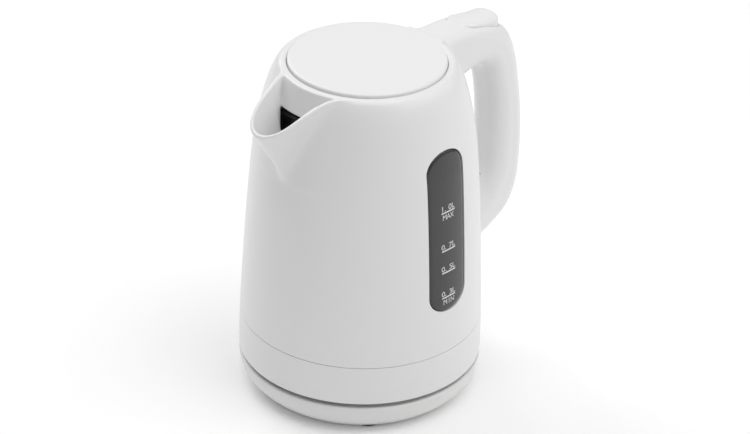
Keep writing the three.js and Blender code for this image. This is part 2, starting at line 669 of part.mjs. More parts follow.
const ROCKER_END = 84;
const rockerSide = new THREE.Shape();
rockerSide.moveTo(SWITCH_Y - 10, SWITCH_Z - 1.5);
rockerSide.lineTo(SWITCH_Y, SWITCH_Z - 3);
rockerSide.lineTo(74, SWITCH_Z - 4);
rockerSide.lineTo(ROCKER_END - 2, SWITCH_Z - 3.4);
rockerSide.quadraticCurveTo(ROCKER_END, SWITCH_Z - 3, ROCKER_END, SWITCH_Z - 1);
rockerSide.quadraticCurveTo(ROCKER_END, SWITCH_Z + 1, ROCKER_END - 2, SWITCH_Z + 1);
rockerSide.lineTo(SWITCH_Y, SWITCH_Z + 3);
rockerSide.lineTo(SWITCH_Y - 10, SWITCH_Z + 1.5);
const LENS_POCKET = { x: 4.5, y: [75, 80], low: SWITCH_Z - 0.6 };
const lensPocket = block([-LENS_POCKET.x, LENS_POCKET.x], LENS_POCKET.y, [LENS_POCKET.low, 60]);
const rocker = sideways(rockerSide, -SWITCH_HALF_WIDTH, SWITCH_HALF_WIDTH)
  .subtract(barAlongX(PIN_HOLE_RADIUS, [-20, 20], SWITCH_Y, SWITCH_Z))
  .subtract(lensPocket);
add(rockerSwitch, "switch_rocker", rocker, WHITE_PLASTIC);
const lens = block(
  [-LENS_POCKET.x + GAP, LENS_POCKET.x - GAP],
  [LENS_POCKET.y[0] + GAP, LENS_POCKET.y[1] - GAP],
  [LENS_POCKET.low + GAP, SWITCH_Z + 1.6],
);
add(rockerSwitch, "switch_lens", lens, AMBER_LENS);
add(jug, "switch_pin", barAlongX(HINGE_PIN_RADIUS, [-11, 11], SWITCH_Y, SWITCH_Z), STEEL);
add(jug, "trip_rod", block([-2, 2], [53, 57], [SWITCH_Z + 2.2, 49]), WHITE_PLASTIC);

// ---------------------------------------------------------------- connector, jug half

const connectorHousing = joined([
  disc(CONNECTOR_RADIUS, SOCKET_TOP + 2.4, CONTROL_LOW - GAP, MEDIUM_FACETS),
  ring(SOCKET_RADIUS + 0.6, CONNECTOR_RADIUS, 20.5, SOCKET_TOP + 3, MEDIUM_FACETS),
]);
add(jug, "connector_housing", connectorHousing, WHITE_PLASTIC);
add(jug, "connector_pin", disc(PIN_RADIUS, PIN_TIP, SOCKET_TOP + 2.1, SMALL_FACETS), BRASS);
add(jug, "connector_ring", ring(...CONTACT_RING, PIN_TIP, SOCKET_TOP + 2.1, MEDIUM_FACETS), BRASS);

// ---------------------------------------------------------------- power base

// Radius of the base's curved side at a height, its skin moved inward by inset.
function baseSide(inset, steps = 5) {
  const points = [];
  for (let i = 0; i <= steps; i += 1) {
    const depth = 1 - i / steps;
    const height = BASE_TOP - inset - depth * (BASE_TOP - inset - BASE_BOTTOM);
    const swell = (BASE_TOP_RADIUS - BASE_BOTTOM_RADIUS) * (1 - depth ** BASE_BULGE_POWER);
    points.push([BASE_BOTTOM_RADIUS + swell - inset, height]);
  }
  return points;
}

const BASE_SCREW_ANGLES = [90, 210, 330];
const baseRim = [BASE_TOP_RADIUS - 0.8, BASE_TOP];
const baseOuter = turned([[0, BASE_BOTTOM], ...baseSide(0), baseRim, [0, BASE_TOP]]);
const baseInside = turned([[0, BASE_BOTTOM - 1], [BASE_BOTTOM_RADIUS - BASE_WALL, BASE_BOTTOM - 1],
  ...baseSide(BASE_WALL), [0, BASE_TOP - BASE_WALL]]);
const BASE_BOSS = { radius: 4, low: 5, holeRadius: 1.7, holeTop: 15 };
const baseBoss = disc(BASE_BOSS.radius, BASE_BOSS.low, BASE_TOP - 1, SMALL_FACETS);
const baseBossHole = disc(BASE_BOSS.holeRadius, BASE_BOSS.low - 3, BASE_BOSS.holeTop, SMALL_FACETS);
const GLAND_HEIGHT = 9;
const GLAND_RADIUS = 5;
const GLAND_BORE = 3.2;
const baseCover = baseOuter
  .subtract(baseInside)
  .add(copied(baseBoss, BASE_SCREW_CIRCLE, BASE_SCREW_ANGLES))
  .subtract(copied(baseBossHole, BASE_SCREW_CIRCLE, BASE_SCREW_ANGLES))
  .subtract(ring(...DECK_GROOVE, BASE_TOP - DECK_GROOVE_DEPTH, BASE_TOP + 1))
  .subtract(disc(SOCKET_RADIUS + GAP, 0, 30, MEDIUM_FACETS))
  .subtract(barAlongY(GLAND_RADIUS + GAP, 0, [50, 80], GLAND_HEIGHT, 20));
add(powerBase, "base_cover", baseCover, BASE_PLASTIC);

const FLOOR_TOP = BASE_BOTTOM + 2.4;
const PAD_DEPTH = 1;
const FOOT_ANGLES = [0, 1, 2, 3].map((quarter) => FOOT_START_DEGREES + 90 * quarter);
const footPocket = disc(FOOT_RADIUS + GAP, 0, BASE_BOTTOM + PAD_DEPTH, SMALL_FACETS);
const HEAD_POCKET = { radius: 3.2, depth: 1.5 };
const floorScrewHole = disc(SCREW_HOLE_RADIUS, 0, 6, SMALL_FACETS)
  .add(disc(HEAD_POCKET.radius, 0, BASE_BOTTOM + HEAD_POCKET.depth, SMALL_FACETS));
const basePlate = disc(BASE_BOTTOM_RADIUS - BASE_WALL - GAP, BASE_BOTTOM, FLOOR_TOP)
  .subtract(copied(footPocket, FOOT_CIRCLE, FOOT_ANGLES))
  .subtract(copied(floorScrewHole, BASE_SCREW_CIRCLE, BASE_SCREW_ANGLES));
add(powerBase, "base_bottom_plate", basePlate, BASE_PLASTIC);

const foot = disc(FOOT_RADIUS, 0, BASE_BOTTOM + PAD_DEPTH - GAP, SMALL_FACETS)
  .add(disc(FOOT_PAD_RADIUS, 0, FOOT_PAD_HEIGHT, 2 * SMALL_FACETS));
FOOT_ANGLES.forEach((degrees, i) => {
  add(powerBase, `base_foot_${i + 1}`, moved(foot, ...around(FOOT_CIRCLE, degrees)), RUBBER);
});
BASE_SCREW_ANGLES.forEach((degrees, i) => {
  const shape = screw(2.8, BASE_BOTTOM + 0.1, BASE_BOTTOM + 1.2, 1.4, 12);
  add(powerBase, `base_screw_${i + 1}`, moved(shape, ...around(BASE_SCREW_CIRCLE, degrees)), STEEL);
});

const centreSlot = disc(PIN_RADIUS + 1, SLOT_FLOOR, SOCKET_TOP + 1, SMALL_FACETS);
const slotRadii = [CONTACT_RING[0] - 0.9, CONTACT_RING[1] + 0.9];
const ringSlot = ring(...slotRadii, SLOT_FLOOR, SOCKET_TOP + 1, MEDIUM_FACETS);
const socket = disc(SOCKET_RADIUS, FLOOR_TOP + GAP, SOCKET_TOP, MEDIUM_FACETS)
  .subtract(centreSlot)
  .subtract(ringSlot);
add(powerBase, "base_socket", socket, WHITE_PLASTIC);
add(powerBase, "centre_contact", disc(PIN_RADIUS, SLOT_FLOOR + GAP, PIN_TIP - 0.5, SMALL_FACETS), BRASS);
add(powerBase, "ring_contact", ring(...CONTACT_RING, SLOT_FLOOR + GAP, PIN_TIP - 0.5, MEDIUM_FACETS), BRASS);

const gland = barAlongY(GLAND_RADIUS, 0, [60, 70.5], GLAND_HEIGHT, 20)
  .subtract(barAlongY(GLAND_BORE, 0, [50, 80], GLAND_HEIGHT, 20));
add(powerBase, "cord_gland", gland, BLACK_PLASTIC);

export default kettle;
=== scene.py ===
"""Looks of the electric kettle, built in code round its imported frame. Shapes are worked out in millimetres
and written to Blender in metres."""
import math

import bmesh
import bpy
import numpy as np
from mathutils import Matrix, Vector


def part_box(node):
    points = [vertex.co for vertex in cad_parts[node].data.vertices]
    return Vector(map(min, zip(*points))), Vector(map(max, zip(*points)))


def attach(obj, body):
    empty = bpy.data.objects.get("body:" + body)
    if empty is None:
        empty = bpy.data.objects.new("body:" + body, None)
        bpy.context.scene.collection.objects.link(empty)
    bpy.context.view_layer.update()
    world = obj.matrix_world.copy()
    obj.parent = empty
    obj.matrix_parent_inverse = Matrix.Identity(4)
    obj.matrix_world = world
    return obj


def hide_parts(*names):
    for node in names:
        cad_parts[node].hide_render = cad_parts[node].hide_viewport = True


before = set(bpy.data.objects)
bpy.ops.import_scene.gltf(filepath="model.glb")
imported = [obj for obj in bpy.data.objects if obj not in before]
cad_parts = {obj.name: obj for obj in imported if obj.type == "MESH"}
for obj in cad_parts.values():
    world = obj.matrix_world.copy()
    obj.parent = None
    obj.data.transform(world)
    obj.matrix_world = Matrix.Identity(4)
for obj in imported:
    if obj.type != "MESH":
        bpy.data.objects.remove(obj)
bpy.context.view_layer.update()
MM = 0.001


def box_mm(node):
    """Lowest and highest corner of a CAD node, in millimetres."""
    low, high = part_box(node)
    return np.array(low) / MM, np.array(high) / MM


# ---------------------------------------------------------------- driving dimensions, in millimetres

JUG_RADIUS = box_mm("lower_collar")[1][0]
JUG_BOTTOM = box_mm("lower_collar")[0][2]
JUG_TOP = box_mm("body_shell")[1][2]
SEAM = box_mm("body_shell")[0][2]
COLLAR_TOP = box_mm("lower_collar")[1][2]
LID_RADIUS = box_mm("lid_pan")[1][0] + 2.9
LID_TOP = box_mm("lid_cap")[1][2]
NECK_RADIUS = LID_RADIUS + 0.25
NECK_OUTER = NECK_RADIUS + 3.2
NECK_BOTTOM = JUG_TOP - 18
WALL = 2.5
BEAK_TIP = -box_mm("body_shell")[0][1]
BASE_RADIUS = box_mm("base_cover")[1][0]
BASE_TOP = box_mm("base_cover")[1][2]
BASE_BOTTOM = box_mm("base_cover")[0][2]

# ---------------------------------------------------------------- curves


def bezier(points, steps):
    """Points of a cubic Bezier arc, without its first one."""
    a, b, c, d = (np.array(p, float) for p in points)
    t = np.linspace(0, 1, steps + 1)[1:, None]
    return (1 - t) ** 3 * a + 3 * (1 - t) ** 2 * t * b + 3 * (1 - t) * t**2 * c + t**3 * d


def chain(start, *arcs, steps=24):
    """A line from start through Bezier arcs, three points each, and straight stretches, one point each."""
    rows = [np.array([start], float)]
    for arc in arcs:
        last = rows[-1][-1]
        rows.append(np.array(arc, float) if len(arc) == 1 else bezier([last, *arc], steps))
    return np.vstack(rows)


def rectangle(low, high):
    """The four corners between two opposite corners."""
    return [(low[0], low[1]), (high[0], low[1]), (high[0], high[1]), (low[0], high[1])]


def arc_points(centre, radius, first, last, count, closed=False):
    """Points on a circle from one angle to another, in degrees; a closed circle doesn't repeat its first."""
    angles = np.radians(np.linspace(first, last, count, endpoint=not closed))
    return [(centre[0] + radius * math.cos(a), centre[1] + radius * math.sin(a)) for a in angles]


def circle(centre, radius, count):
    return arc_points(centre, radius, 0, 360, count, closed=True)


def rounded(outline, radius, steps=4):
    """A closed outline with a small arc at each corner; radius is one value or one per corner."""
    corners = np.array(outline, float)
    count = len(corners)
    radii = np.full(count, radius, float) if np.isscalar(radius) else np.array(radius, float)
    rows = []
    for i, corner in enumerate(corners):
        before, after = corners[i - 1] - corner, corners[(i + 1) % count] - corner
        reach = min(radii[i], 0.45 * np.linalg.norm(before), 0.45 * np.linalg.norm(after))
        if reach < 1e-6:
            rows.append(corner)
            continue
        start = corner + before / np.linalg.norm(before) * reach
        end = corner + after / np.linalg.norm(after) * reach
        for t in np.linspace(0, 1, steps + 1):
            rows.append((1 - t) ** 2 * start + 2 * t * (1 - t) * corner + t**2 * end)
    return np.array(rows)


SHOULDER = (63, 152)
TOP_EDGE = (47, JUG_TOP)
OUTER_PROFILE = chain(
    (JUG_RADIUS, JUG_BOTTOM),
    [(JUG_RADIUS + 0.2, 42.6), (66.6, 116.5), SHOULDER],
    [(61.9, 162.7), (54.8, JUG_TOP), TOP_EDGE],
    steps=60,
)


def profile_radius(height, inset=0.0):
    """Outer radius of the jug wall at a height, moved inward by inset."""
    line = offset_line(OUTER_PROFILE, inset)
    return np.interp(height, line[:, 1], line[:, 0])


def offset_line(line, inset):
    """An open line of points moved to its left by inset."""
    along = np.gradient(line, axis=0)
    along /= np.linalg.norm(along, axis=1)[:, None]
    return line + inset * np.column_stack([-along[:, 1], along[:, 0]])


# ---------------------------------------------------------------- signed distance fields


class DistanceMap:
    """Signed distance to a flat closed outline, tabled on a grid and read back with cubic interpolation."""

    def __init__(self, outline, low, high, step):
        self.low, self.step = np.array(low, float), step
        axes = [np.arange(low[k] - 2 * step, high[k] + 3 * step, step) for k in (0, 1)]
        u, v = np.meshgrid(*axes, indexing="ij")
        best = np.full(u.shape, np.inf)
        inside = np.zeros(u.shape, bool)
        for a, b in zip(outline, np.roll(outline, -1, axis=0)):
            edge = b - a
            length = edge @ edge
            if length < 1e-12:
                continue
            along = np.clip(((u - a[0]) * edge[0] + (v - a[1]) * edge[1]) / length, 0, 1)
            off_u = u - a[0] - along * edge[0]
            off_v = v - a[1] - along * edge[1]
            best = np.minimum(best, off_u**2 + off_v**2)
            if a[1] != b[1]:
                crosses = ((a[1] > v) != (b[1] > v)) & (u < edge[0] * (v - a[1]) / edge[1] + a[0])
                inside ^= crosses
        self.table = np.where(inside, -1, 1) * np.sqrt(best)

    def __call__(self, u, v):
        shape = np.broadcast(u, v).shape
        u, v = (np.broadcast_to(w, shape).ravel() for w in (u, v))
        places = []
        for k, w in enumerate((u, v)):
            at = (w - self.low[k]) / self.step + 2
            cell = np.clip(np.floor(at).astype(int), 1, self.table.shape[k] - 3)
            part = np.clip(at - cell, -2, 3)
            places.append((cell, cubic_weights(part)))
        (i, wu), (j, wv) = places
        total = np.zeros(u.shape)
        for a in range(4):
            for b in range(4):
                total += wu[a] * wv[b] * self.table[i + a - 1, j + b - 1]
        return total.reshape(shape)


def cubic_weights(t):
    return (
        ((-0.5 * t + 1) * t - 0.5) * t,
        (1.5 * t - 2.5) * t * t + 1,
        ((-1.5 * t + 2) * t + 0.5) * t,
        (0.5 * t - 0.5) * t * t,
    )


def blend_min(a, b, reach):
    """Union of two fields with a fillet."""
    near = np.maximum(reach - np.abs(a - b), 0) / reach
    return np.minimum(a, b) - near**3 * reach / 6


def blend_max(a, b, reach):
    """Intersection of two fields with a rounded edge."""
    return -blend_min(-a, -b, reach)


def gradient(field, points, step=0.05):
    rows = []
    for k in range(3):
        shift = np.zeros(3)
        shift[k] = step
        rows.append((field(points + shift) - field(points - shift)) / (2 * step))
    return np.column_stack(rows)


def surface(field, low, high, cell, relax=4):
    """Closed mesh of the surface where field is zero, as (points, quads): one point for each crossed cell,
    then moved on to the surface."""
    axes = [np.arange(low[k], high[k] + cell, cell) for k in range(3)]
    shape = tuple(len(axis) for axis in axes)
    values = np.empty(shape)
    y, z = np.meshgrid(axes[1], axes[2], indexing="ij")
    for i, x in enumerate(axes[0]):
        points = np.column_stack([np.full(y.size, x), y.ravel(), z.ravel()])
        values[i] = field(points).reshape(y.shape)
    inside = values < 0
    corner = [(a, b, c) for a in (0, 1) for b in (0, 1) for c in (0, 1)]

    def at(array, offset):
        return array[tuple(slice(o, n - 1 + o) for o, n in zip(offset, array.shape))]

    count = sum(at(inside, c).astype(np.int8) for c in corner)
    mixed = (count > 0) & (count < 8)
    cells = np.argwhere(mixed)
    number = np.full(mixed.shape, -1)
    number[tuple(cells.T)] = np.arange(len(cells))
    total, hits = np.zeros((len(cells), 3)), np.zeros(len(cells))
    for a in corner:
        for axis in range(3):
            if a[axis]:
                continue
            b = tuple(1 if k == axis else a[k] for k in range(3))
            va = values[tuple((cells + a).T)]
            vb = values[tuple((cells + b).T)]
            cut = (va < 0) != (vb < 0)
            share = np.where(cut, va / np.where(cut, va - vb, 1), 0)
            place = np.tile(np.array(a, float), (len(cells), 1))
            place[:, axis] = share
            total += place * cut[:, None]
            hits += cut
    points = np.array([axis[0] for axis in axes]) + (cells + total / hits[:, None]) * cell
    quads = []
    for axis in range(3):
        one, two = [k for k in range(3) if k != axis]
        start = [slice(None)] * 3
        start[axis] = slice(0, -1)
        end = [slice(None)] * 3
        end[axis] = slice(1, None)
        flips = np.argwhere(inside[tuple(start)] != inside[tuple(end)])
        keep = (flips[:, one] > 0) & (flips[:, two] > 0)
        keep &= (flips[:, one] < shape[one] - 1) & (flips[:, two] < shape[two] - 1)
        flips = flips[keep]
        ring = []
        for du, dv in ((-1, -1), (0, -1), (0, 0), (-1, 0)):
            place = flips.copy()
            place[:, one] += du
            place[:, two] += dv
            ring.append(number[tuple(place.T)])
        ring = np.column_stack(ring)
        outward = inside[tuple(flips.T)]
        if axis == 1:
            outward = ~outward
        ring[~outward] = ring[~outward][:, ::-1]
        quads.append(ring)
    for _ in range(relax):
        slope = gradient(field, points)
        step = (field(points) / np.maximum((slope**2).sum(1), 0.05))[:, None] * slope
        limit = np.minimum(1, 0.5 * cell / np.maximum(np.linalg.norm(step, axis=1), 1e-9))
        points -= step * limit[:, None]
    return points, np.vstack(quads)


# ---------------------------------------------------------------- meshes


def new_object(name, mesh):
    piece = bpy.data.objects.new(name, mesh)
    bpy.context.scene.collection.objects.link(piece)
    return piece


def mesh_object(name, points, faces, sharp_degrees=35):
    """An object from points in millimetres and faces, smooth but for its sharp edges."""
    mesh = bpy.data.meshes.new(name)
    mesh.from_pydata((np.asarray(points) * MM).tolist(), [], [list(map(int, face)) for face in faces])
    mesh.validate()
    mesh.update()
    soften(mesh, sharp_degrees)
    return new_object(name, mesh)


def soften(mesh, sharp_degrees=35):
    mesh.polygons.foreach_set("use_smooth", [True] * len(mesh.polygons))
    mesh.set_sharp_from_angle(angle=math.radians(sharp_degrees))


def face_outward(piece):
    cage = bmesh.new()
    cage.from_mesh(piece.data)
    bmesh.ops.recalc_face_normals(cage, faces=cage.faces)
    cage.to_mesh(piece.data)
    cage.free()
    soften(piece.data)


def field_object(name, field, low, high, cell, shading=None):
    """An object for the zero surface of a field, shaded with the field's own slope."""
    points, quads = surface(field, low, high, cell)
    piece = mesh_object(name, points, quads, 180)
    slope = gradient(shading or field, points, 0.15)
    slope /= np.maximum(np.linalg.norm(slope, axis=1), 1e-9)[:, None]
    piece.data.normals_split_custom_set_from_vertices(slope.tolist())
    return piece


def turned(name, outline, facets, centre=(0, 0)):
    """A closed outline of (radius, height) turned round an upright axis; points on the axis close it."""
    outline = np.array(outline, float)
    angles = np.linspace(0, 2 * math.pi, facets, endpoint=False)
    points, rows = [], []
    for radius, height in outline:
        if radius < 1e-6:
            rows.append([len(points)] * facets)
            points.append((centre[0], centre[1], height))
            continue
        rows.append(list(range(len(points), len(points) + facets)))
        for a in angles:
            points.append((centre[0] + radius * math.cos(a), centre[1] + radius * math.sin(a), height))
    faces = []
    for i, row in enumerate(rows):
        after = rows[(i + 1) % len(rows)]
        if outline[i][0] < 1e-6 and outline[(i + 1) % len(rows)][0] < 1e-6:
            continue
        for k in range(facets):
            nxt = (k + 1) % facets
            ring = [row[k], row[nxt], after[nxt], after[k]]
            faces.append([v for n, v in enumerate(ring) if v != ring[n - 1]])
    piece = mesh_object(name, points, faces)
    face_outward(piece)
    return piece


def prism(name, outline, low, high, axis="X"):
    """A closed outline made thick along X (outline in y, z) or Z (outline in x, y)."""
    outline = np.array(outline, float)
    count = len(outline)
    rows = []
    for level in (low, high):
        side = np.full(count, float(level))
        columns = [outline[:, 0], outline[:, 1]]
        columns.insert(0 if axis == "X" else 2, side)
        rows.append(np.column_stack(columns))
    faces = [list(range(count))[::-1], list(range(count, 2 * count))]
    faces += [[k, (k + 1) % count, count + (k + 1) % count, count + k] for k in range(count)]
    piece = mesh_object(name, np.vstack(rows), faces)
    face_outward(piece)
    return piece


def cut(piece, cutter):
    """Takes the shape of another object out of a piece, then removes that object."""
    change = piece.modifiers.new("cut", "BOOLEAN")
    change.object, change.operation, change.solver = cutter, "DIFFERENCE", "EXACT"
    graph = bpy.context.evaluated_depsgraph_get()
    mesh = bpy.data.meshes.new_from_object(piece.evaluated_get(graph))
    piece.modifiers.clear()
    old, piece.data = piece.data, mesh
    bpy.data.meshes.remove(old)
    bpy.data.objects.remove(cutter)
    mesh.name = piece.name
    soften(mesh)


def shade_from(piece, field, tolerance=0.03):
    """Gives the faces that lie on a field's surface that field's own slope as their shading."""
    mesh = piece.data
    points = np.empty(len(mesh.vertices) * 3)
    mesh.vertices.foreach_get("co", points)
    points = points.reshape(-1, 3) / MM
    slope = gradient(field, points, 0.1)
    slope /= np.maximum(np.linalg.norm(slope, axis=1), 1e-9)[:, None]
    close = np.abs(field(points)) < tolerance
    corner = np.empty(len(mesh.loops), int)
    mesh.loops.foreach_get("vertex_index", corner)
    face_of = np.repeat(np.arange(len(mesh.polygons)), [p.loop_total for p in mesh.polygons])
    flat = np.empty(len(mesh.polygons) * 3)
    mesh.polygons.foreach_get("normal", flat)
    flat = flat.reshape(-1, 3)[face_of]
    wanted = slope[corner]
    fits = close[corner] & ((flat * wanted).sum(1) > 0.9)
    wanted[~fits] = 0
    mesh.normals_split_custom_set(wanted.tolist())


def bevelled(piece, width, segments=3):
    """A small rounded bevel on the sharp edges."""
    change = piece.modifiers.new("bevel", "BEVEL")
    change.width, change.segments, change.limit_method = width * MM, segments, "ANGLE"
    change.angle_limit = math.radians(35)
    change.harden_normals = True


# ---------------------------------------------------------------- materials

CLOUD_SCALE = 160      # of the noise behind the faint clouds, per metre
GLOSS_SHARE = 6        # how much more the gloss varies than the colour
GRAIN_DEPTH = 0.05


def material(name, color, roughness, metallic=0.0, grain=0.0, grain_size=0.4, mottle=0.004, **sockets):
    """A procedural surface: a faint cloud in colour and gloss, and a fine grain in relief."""
    look = bpy.data.materials.new(name)
    look.use_nodes = True
    nodes, links = look.node_tree.nodes, look.node_tree.links
    shader = nodes["Principled BSDF"]
    shader.inputs["Metallic"].default_value = metallic
    for socket, value in sockets.items():
        shader.inputs[socket.replace("_", " ").title()].default_value = value
    place = nodes.new("ShaderNodeTexCoord")
    cloud = nodes.new("ShaderNodeTexNoise")
    cloud.inputs["Scale"].default_value = CLOUD_SCALE
    cloud.inputs["Detail"].default_value = 3
    links.new(place.outputs["Object"], cloud.inputs["Vector"])
    tint = nodes.new("ShaderNodeMix")
    tint.data_type = "RGBA"
    tint.inputs["A"].default_value = (*[c * (1 - mottle) for c in color], 1)
    tint.inputs["B"].default_value = (*[min(1, c * (1 + mottle)) for c in color], 1)
    links.new(cloud.outputs["Fac"], tint.inputs["Factor"])
    links.new(tint.outputs["Result"], shader.inputs["Base Color"])
    gloss = nodes.new("ShaderNodeMapRange")
    gloss.inputs["To Min"].default_value = roughness * (1 - GLOSS_SHARE * mottle)
    gloss.inputs["To Max"].default_value = roughness * (1 + GLOSS_SHARE * mottle)
    links.new(cloud.outputs["Fac"], gloss.inputs["Value"])
    links.new(gloss.outputs["Result"], shader.inputs["Roughness"])
    if grain:
        fine = nodes.new("ShaderNodeTexNoise")
        fine.inputs["Scale"].default_value = 1 / (grain_size * MM)
        fine.inputs["Detail"].default_value = 2
        links.new(place.outputs["Object"], fine.inputs["Vector"])
        relief = nodes.new("ShaderNodeBump")
        relief.inputs["Strength"].default_value = grain
        relief.inputs["Distance"].default_value = GRAIN_DEPTH * MM
        links.new(fine.outputs["Fac"], relief.inputs["Height"])
        links.new(relief.outputs["Normal"], shader.inputs["Normal"])
    return look


WHITE = material("white_gloss_plastic", (0.80, 0.80, 0.80), 0.33, grain=0.1, grain_size=1.2,
                 coat_weight=0.15, coat_roughness=0.12)
SATIN_WHITE = material("white_satin_plastic", (0.80, 0.80, 0.80), 0.32, grain=0.25, grain_size=0.5)
BASE_WHITE = material("base_plastic", (0.77, 0.77, 0.765), 0.26, grain=0.15, grain_size=0.8)
BLACK = material("black_plastic", (0.032, 0.032, 0.033), 0.5, grain=0.4, grain_size=0.3)
SMOKED = material("smoked_window", (0.026, 0.026, 0.027), 0.1, mottle=0.05,
                  coat_weight=0.3, coat_roughness=0.04)
PRINT = material("window_print", (0.70, 0.70, 0.70), 0.5, grain=0.2, grain_size=0.3, mottle=0.05)
AMBER = material("amber_lens", (0.75, 0.22, 0.04), 0.15, mottle=0.05, transmission_weight=0.35)
SILICONE = material("silicone", (0.62, 0.62, 0.6), 0.55, grain=0.2, grain_size=0.4)
RUBBER = material("foot_rubber", (0.035, 0.035, 0.036), 0.75, grain=0.5, grain_size=0.3)
STEEL = material("steel", (0.58, 0.59, 0.6), 0.28, 1.0, grain=0.3, grain_size=0.25, mottle=0.04)
# steel of the filter weave, darkened with painted shade
FILTER_STEEL_PAINTED_SHADE = material("filter_steel", (0.16, 0.16, 0.165), 0.45, 1.0, grain=0.3, grain_size=0.2,
                      mottle=0.05)
ALUMINIUM = material("aluminium", (0.68, 0.69, 0.7), 0.42, 1.0, grain=0.3, grain_size=0.3, mottle=0.04)
BRASS = material("brass", (0.70, 0.50, 0.19), 0.3, 1.0, grain=0.3, grain_size=0.3, mottle=0.05)


def finish(piece, look, slot, body, *stands_for):
    """Gives a piece its material, its body and the CAD nodes that it stands for; the slot is not used."""
    piece.data.materials.clear()
    piece.data.materials.append(look)
    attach(piece, body)
    if stands_for:
        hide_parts(*stands_for)


# ---------------------------------------------------------------- fields of the jug

MAP_STEP = 0.4
MAP_TOP = JUG_TOP + 14
jug_section = np.vstack([OUTER_PROFILE, [(0, JUG_TOP), (0, JUG_BOTTOM)]])
body_map = DistanceMap(jug_section, (0, JUG_BOTTOM - 6), (100, MAP_TOP), MAP_STEP)
VISUAL_NECK_OUTER = NECK_OUTER + 1.2
INNER_LINE = offset_line(OUTER_PROFILE, WALL)
WEIR_BOTTOM = JUG_TOP - 15.3   # the sloped panel between the neck and the beak ends here, over the opening
WEIR_RADIUS = 54.2
POCKET_ROOT_HALF = 19.3    # half width of the hollow of the beak where it leaves the jug
POCKET_ROOT_REACH = 57.5   # and how far from the axis that width is kept
FLOOR_HEIGHT = 60
air_line = INNER_LINE[(INNER_LINE[:, 1] > FLOOR_HEIGHT) & (INNER_LINE[:, 1] < WEIR_BOTTOM)]
interior_map = DistanceMap(
    np.vstack([
        air_line,
        [(air_line[-1][0], WEIR_BOTTOM), (NECK_RADIUS, WEIR_BOTTOM)],
        [(NECK_RADIUS, JUG_TOP + 20), (0, JUG_TOP + 20), (0, air_line[0][1])],
    ]),
    (0, FLOOR_HEIGHT), (90, MAP_TOP), MAP_STEP,
)


def body_field(p):
    return body_map(np.hypot(p[:, 0], p[:, 1]), p[:, 2])


def interior_field(p):
    return interior_map(np.hypot(p[:, 0], p[:, 1]), p[:, 2])


# the beak: a cone from a point low on the wall up to a pointed-oval rim that falls towards the tip
RIM_START = 48
RIM_DROP = 16
RIM_LENGTH = 36
RIM_POWER = 1.5
TIP_POWER = 6.5
BEAK_FADE = 9.0   # over this height above its apex the cone sinks into the wall
BEAK_OUTSIDE = {"apex": (60.5, 147.0), "root": 20.8, "taper": 0.235, "tip": BEAK_TIP + 0.8}
BEAK_INSIDE = {"apex": (59.0, 150.0), "root": 17.9, "taper": 0.19, "tip": BEAK_TIP - 1.3}


def rim_height(distance):
    return JUG_TOP - RIM_DROP * (np.maximum(distance - RIM_START, 0) / RIM_LENGTH) ** RIM_POWER


def rim_slope(distance):
    run = np.maximum(distance - RIM_START, 0) / RIM_LENGTH
    return -RIM_DROP * RIM_POWER / RIM_LENGTH * np.sqrt(run)


def beak_field(p, apex, root, taper, tip):
    """Roughly the distance to the cone, measured level: negative inside."""
    side, out, up = p[:, 0], -p[:, 1] - apex[0], np.maximum(p[:, 2] - apex[1], 3.0)
    reach = (JUG_TOP - 6 - apex[1]) / up
    for _ in range(5):
        at = apex[0] + reach * out
        error = apex[1] + reach * up - rim_height(at)
        reach = np.clip(reach - error / np.maximum(up - rim_slope(at) * out, 1.0), 0.3, 20)
    across, along = side * reach, apex[0] + reach * out
    width = np.maximum(root - taper * (along - RIM_START), 4.0)
    share = np.clip((along - RIM_START) / (tip - RIM_START), 0, 1.6)
    power = 2.5 + (TIP_POWER - 2.5) / np.maximum(reach, 1)
    level = (across / width) ** 2 + share**power - 1
    steep = np.hypot(
        2 * across / width**2,
        power * share ** (power - 1) / (tip - RIM_START) + 2 * across**2 * taper / width**3,
    )
    fade = np.maximum(apex[1] + BEAK_FADE - p[:, 2], 0)
    return level / np.maximum(steep, 0.06) / reach + fade**2 / (2 * BEAK_FADE)


BEAK_FILLET = 9
BEAK_HALF_SECTOR = 46
SECTOR_OVERLAP = 1.5
BEAK_PATCH_LOW = 140


def body_with_beak(p):
    return blend_min(body_field(p), beak_field(p, **BEAK_OUTSIDE), BEAK_FILLET)


def jug_outside(p):
    """The jug with its beak as one full solid, rim included."""
    whole = body_with_beak(p)
    distance = -p[:, 1]
    top = (p[:, 2] - rim_height(distance)) / np.sqrt(1 + rim_slope(distance) ** 2)
    return blend_max(whole, top, 1.6 * np.clip((distance - 44) / 4, 0.02, 1))


def jug_front(p):
    down = JUG_TOP - p[:, 2]
    weir = np.hypot(p[:, 0], p[:, 1]) - VISUAL_NECK_OUTER
    weir -= (WEIR_RADIUS - VISUAL_NECK_OUTER) * down / (JUG_TOP - WEIR_BOTTOM)
    panel = blend_max(weir, WEIR_BOTTOM - p[:, 2], 1.2)
    corner = np.maximum(body_with_beak(p) + WALL, np.abs(p[:, 0]) - POCKET_ROOT_HALF)
    corner = np.maximum(corner, np.hypot(p[:, 0], p[:, 1]) - POCKET_ROOT_REACH)
    pocket = blend_max(blend_min(beak_field(p, **BEAK_INSIDE), corner, 2.5), -panel, 1.5)
    return blend_max(jug_outside(p), -blend_min(interior_field(p), pocket, 1.5), 1.3)


def past_sector(p):
    """How far a point lies outside the front sector, or below the patch."""
    angle = math.radians(BEAK_HALF_SECTOR)
    side = np.abs(p[:, 0]) * math.cos(angle) + p[:, 1] * math.sin(angle)
    return np.maximum(side, BEAK_PATCH_LOW - p[:, 2])


def beak_patch(p):
    past = past_sector(p)
    sink = 0.004 + 0.02 * np.clip(past / SECTOR_OVERLAP, 0, 1)
    return np.maximum(jug_front(p) + sink, past - SECTOR_OVERLAP)


# ---------------------------------------------------------------- jug pieces

